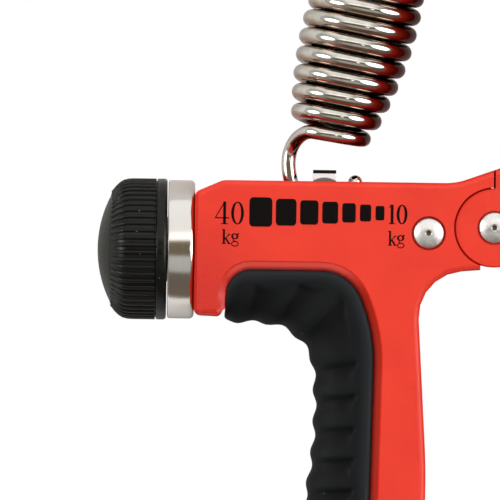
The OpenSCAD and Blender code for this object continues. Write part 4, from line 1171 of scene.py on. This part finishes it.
def pen_widths(line, thick, thin):
    """Widths of a closed stroke: thick at its sides, thin at its top and foot."""
    return thin + (thick - thin) * np.abs(np.cos(np.radians(np.linspace(0, 360, len(line)))))


def figure_strokes(figure, w, h, thick, thin):
    """Middle lines and widths of a figure or unit letter in a serif hand, in a box w wide and h high."""
    t = thin / 2
    if figure == "0":
        line = ring_of(w / 2, h / 2, w / 2 - thick / 2, h / 2 - t)
        return [(line, pen_widths(line, thick, thin))]
    if figure == "1":
        return [
            ([(w / 2, 0), (w / 2, h)], thick),
            ([(w / 2 - thick / 2, h - t), (w * 0.14, h * 0.84)], thin),
            ([(w * 0.1, t), (w * 0.9, t)], thin),
        ]
    if figure == "4":
        x = w * 0.68
        return [
            ([(x, 0), (x, h)], thick),
            ([(x, h * 0.98), (t, h * 0.3)], thin * 1.1),
            ([(0, h * 0.28), (w, h * 0.28)], thin * 1.4),
            ([(x - w * 0.26, t), (x + w * 0.24, t)], thin),
        ]
    if figure == "k":
        x = w * 0.22
        return [
            ([(x, 0), (x, h)], thick),
            ([(x - thick, h - t), (x, h - t)], thin),
            ([(x - thick, t), (x + thick, t)], thin),
            ([(w * 0.86, h * 0.64), (x, h * 0.3)], thin),
            ([(x + w * 0.2, h * 0.38), (w * 0.84, t)], thick * 0.85),
            ([(w * 0.66, t), (w, t)], thin),
            ([(w * 0.66, h * 0.64), (w * 0.98, h * 0.64)], thin),
        ]
    if figure == "g":
        body = ring_of(w * 0.46, h * 0.45, w * 0.34, h * 0.18)
        tail = ring_of(w * 0.48, -h * 0.1, w * 0.42, h * 0.17)
        link = [(w * 0.3, h * 0.26), (w * 0.24, h * 0.16), (w * 0.36, h * 0.09), (w * 0.66, h * 0.07)]
        return [
            (body, pen_widths(body, thick, thin)),
            (link, thin * 1.2),
            (tail, thin * 1.1),
            ([(w * 0.72, h * 0.6), (w, h * 0.66)], thin * 1.3),
        ]
    raise ValueError("the scale has no figure " + figure)


def printed(figure, x, y, wide, high, film):
    """A printed figure as a film on the housing's face."""
    thick, thin = 0.36 if figure in "kg" else 0.52, 0.15
    points, faces = [], []
    for line, widths in figure_strokes(figure, wide, high, thick, thin):
        strip, quads = stroke_strip(line, widths)
        low, n = len(points), len(strip)
        for level in (THICK + film, THICK):
            points += [(x + p[0], y + p[1], level) for p in strip]
        faces += [tuple(low + i for i in q) for q in quads]
        faces += [tuple(low + n + i for i in q[::-1]) for q in quads]
        rim = [low + i for i in [*range(0, n, 2), *range(n - 1, 0, -2)]]
        faces += [(rim[i], rim[(i + 1) % n], rim[(i + 1) % n] + n, rim[i] + n) for i in range(n)]
    return points, faces


class GRIP_OT_scale(bpy.types.Operator):
    """Prints the force scale on the housing's face: two figures and a row of shrinking marks"""

    bl_idname = "grip.scale"
    bl_label = "Printed scale"

    def execute(self, context):
        film = context.scene.grip_sizes.ink
        ink = finish_of(pad_printed_ink)
        # the row runs level; marks shrink towards the pivot, and so do the steps between them
        first, last = Vector((-14.48, 2.41, THICK)), Vector((8.17, 2.5, THICK))
        shares = [i / 6 for i in range(7)]
        places = [first.lerp(last, t * (1.33 - 0.33 * t)) * MM for t in shares]
        carrier = carrier_mesh("scale_places", places)
        keep_values(carrier, "share", shares)
        values = {"First size": (4.35 * MM, 5.57 * MM, film), "Last size": (1.67 * MM, 2.72 * MM, film)}
        place(grown("scale_marks", mark_tree(ink), carrier, values), "finger_handle", "black_plastic")
        # (figure, left, foot, width, height) of the two numbers and their units
        figures = [
            ("4", -23.17, 0.0, 2.65, 4.3),
            ("0", -20.1, 0.0, 2.4, 4.3),
            ("k", -21.8, -3.75, 1.65, 2.8),
            ("g", -20.05, -3.45, 1.5, 2.6),
            ("1", 9.73, 0.46, 1.5, 3.69),
            ("0", 11.35, 0.46, 2.05, 3.69),
            ("k", 9.8, -3.65, 1.6, 2.8),
            ("g", 11.5, -3.35, 1.45, 2.6),
        ]
        points, faces = [], []
        for figure in figures:
            more, sides = printed(*figure, film / MM)
            faces += [tuple(len(points) + i for i in f) for f in sides]
            points += more
        numbers = paint(outward(mesh_of("scale_figures", points, faces)), ink)
        place(numbers, "finger_handle", "black_plastic")
        return {"FINISHED"}


# ---- studio ---------------------------------------------------------------------

LIGHT_TOP = 3.0
# (degrees from straight up, red, green, blue) of the light that comes from there, first along Y, then along X
BANDS_Y = [
    (-180, 0.55, 0.52, 0.48),
    (-97, 0.55, 0.52, 0.48),
    (-84, 0.18, 0.14, 0.11),
    (-42, 0.17, 0.14, 0.11),
    (-36, 0.55, 0.54, 0.52),
    (-13, 0.6, 0.6, 0.58),
    (-9, 0.19, 0.15, 0.1),
    (0, 0.19, 0.15, 0.1),
    (13, 0.19, 0.15, 0.1),
    (17, 1.8, 1.7, 1.6),
    (26, 1.8, 1.7, 1.6),
    (31, 1.15, 1.13, 1.1),
    (90, 1.2, 1.2, 1.19),
    (180, 1.2, 1.2, 1.19),
]
BANDS_X = [
    (-180, 0.6, 0.6, 0.58),
    (-90, 0.6, 0.6, 0.58),
    (-72, 0.55, 0.55, 0.53),
    (-40, 0.3, 0.29, 0.27),
    (-15, 0.05, 0.045, 0.04),
    (15, 0.05, 0.045, 0.04),
    (40, 0.25, 0.23, 0.21),
    (75, 0.2, 0.17, 0.15),
    (90, 0.06, 0.05, 0.05),
    (180, 0.06, 0.05, 0.05),
]
# (direction, half-angle in degrees, brightness)
SOFTBOXES = [
    ((0.829, 0.12, 0.559), 18.0, 5.5),
    ((-0.866, 0.12, 0.5), 14.0, 5.5),
    ((0.276, 0.02, 0.961), 3.5, 3.0),
]
CAMERA_OVER = (-16.44, -4.85)
CAMERA_ROLL = 0.8
SENSOR = 36.0
FLOOR_HALF = 1200.0


class GRIP_OT_studio(bpy.types.Operator):
    """Sets the pale floor, the soft light from all round and the camera"""

    bl_idname = "grip.studio"
    bl_label = "Studio and camera"

    def execute(self, context):
        scene, sizes = context.scene, context.scene.grip_sizes
        scene.view_settings.view_transform = "Standard"
        scene.view_settings.look = "None"

        corners = [(x * FLOOR_HALF, y * FLOOR_HALF, 0) for x, y in ((-1, -1), (1, -1), (1, 1), (-1, 1))]
        floor = mesh_of("studio_floor", corners, [(0, 1, 2, 3)])
        paint(floor, finish_of(pale_light_table))

        scene.world = room_light()
        camera = link_in(bpy.data.objects.new("photo_view", bpy.data.cameras.new("photo_view")))
        camera.data.sensor_width = SENSOR
        camera.data.lens = SENSOR * sizes.camera_away / sizes.view_wide
        camera.data.clip_end = 20
        camera.location = (CAMERA_OVER[0] * MM, CAMERA_OVER[1] * MM, MID * MM + sizes.camera_away)
        camera.rotation_euler = (0, 0, math.radians(CAMERA_ROLL))
        scene.camera = camera
        return {"FINISHED"}


def band_ramp(tree, value, bands):
    """A ramp over an angle in radians, from bands given as (degrees, red, green, blue) of light strength."""
    node = add(tree, "ShaderNodeValToRGB", {0: span(tree, value, 0.0, 1.0, -math.pi, math.pi)})
    stops = node.color_ramp.elements
    for degrees, *_ in bands[1:-1]:
        stops.new((degrees + 180) / 360)
    for stop, (_, *light) in zip(stops, bands):
        stop.color = (*(c / LIGHT_TOP for c in light), 1.0)
    return node, 0


def room_light():
    """A room of bright sides and a dark ceiling over the camera, with two softboxes and a window strip."""
    world = bpy.data.worlds.new("soft_room")
    world.use_nodes = True
    t = world.node_tree
    t.nodes.clear()
    way = add(t, "ShaderNodeTexCoord")
    parts = add(t, "ShaderNodeSeparateXYZ", {0: (way, "Generated")})
    along_y = add(t, "ShaderNodeMath", {0: (parts, 1), 1: (parts, 2)}, operation="ARCTAN2")
    along_x = add(t, "ShaderNodeMath", {0: (parts, 0), 1: (parts, 2)}, operation="ARCTAN2")
    off_side = add(t, "ShaderNodeMath", {0: (parts, 0)}, operation="ABSOLUTE")
    reach = {0: (off_side, 0), 1: 0.35, 2: 0.75, 3: 0.0, 4: 1.0}
    side = add(t, "ShaderNodeMapRange", reach, interpolation_type="SMOOTHSTEP")
    room = blended(t, (side, 0), band_ramp(t, (along_y, 0), BANDS_Y), band_ramp(t, (along_x, 0), BANDS_X))
    total = add(t, "ShaderNodeVectorMath", {0: room, "Scale": LIGHT_TOP}, operation="SCALE")
    for aim, half, power in SOFTBOXES:
        aim = tuple(Vector(aim).normalized())
        near = add(t, "ShaderNodeVectorMath", {0: (way, "Generated"), 1: aim}, operation="DOT_PRODUCT")
        rim, full = math.cos(math.radians(half * 1.25)), math.cos(math.radians(half))
        reach = {0: (near, "Value"), 1: rim, 2: full, 3: 0.0, 4: power}
        glow = add(t, "ShaderNodeMapRange", reach, interpolation_type="SMOOTHSTEP")
        total = add(t, "ShaderNodeVectorMath", {0: (total, 0), 1: (glow, 0)}, operation="ADD")
    lit = add(t, "ShaderNodeBackground", {"Color": (total, 0), "Strength": 0.93})
    add(t, "ShaderNodeOutputWorld", {"Surface": (lit, 0)})
    return world


# ---- panel and start ---------------------------------------------------------------


class GRIP_PT_panel(bpy.types.Panel):
    """Buttons for the pieces, with their colours and sizes"""

    bl_idname = "GRIP_PT_panel"
    bl_label = "Hand grip strengthener"
    bl_space_type = "VIEW_3D"
    bl_region_type = "UI"
    bl_category = "Hand grip"

    def draw(self, context):
        layout = self.layout
        for step in STEPS:
            layout.operator(step.bl_idname)
        for group in (context.scene.grip_sizes, context.scene.grip_colours):
            box = layout.box()
            for name in group.__annotations__:
                box.prop(group, name)


STEPS = (
    GRIP_OT_finger_handle,
    GRIP_OT_palm_lever,
    GRIP_OT_pads,
    GRIP_OT_spring,
    GRIP_OT_knob,
    GRIP_OT_ring,
    GRIP_OT_rivets,
    GRIP_OT_shell_screws,
    GRIP_OT_adjuster,
    GRIP_OT_scale,
    GRIP_OT_studio,
)
CLASSES = (GripColours, GripSizes, *STEPS, GRIP_PT_panel)


def register():
    for item in CLASSES:
        bpy.utils.register_class(item)
    bpy.types.Scene.grip_colours = PointerProperty(type=GripColours)
    bpy.types.Scene.grip_sizes = PointerProperty(type=GripSizes)


def unregister():
    del bpy.types.Scene.grip_sizes
    del bpy.types.Scene.grip_colours
    for item in reversed(CLASSES):
        bpy.utils.unregister_class(item)


def main():
    register()
    for step in STEPS:
        group, name = step.bl_idname.split(".")
        result = getattr(getattr(bpy.ops, group), name)()
        if result != {"FINISHED"}:
            raise RuntimeError(step.bl_label + " did not finish")


if __name__ == "__main__":
    main()
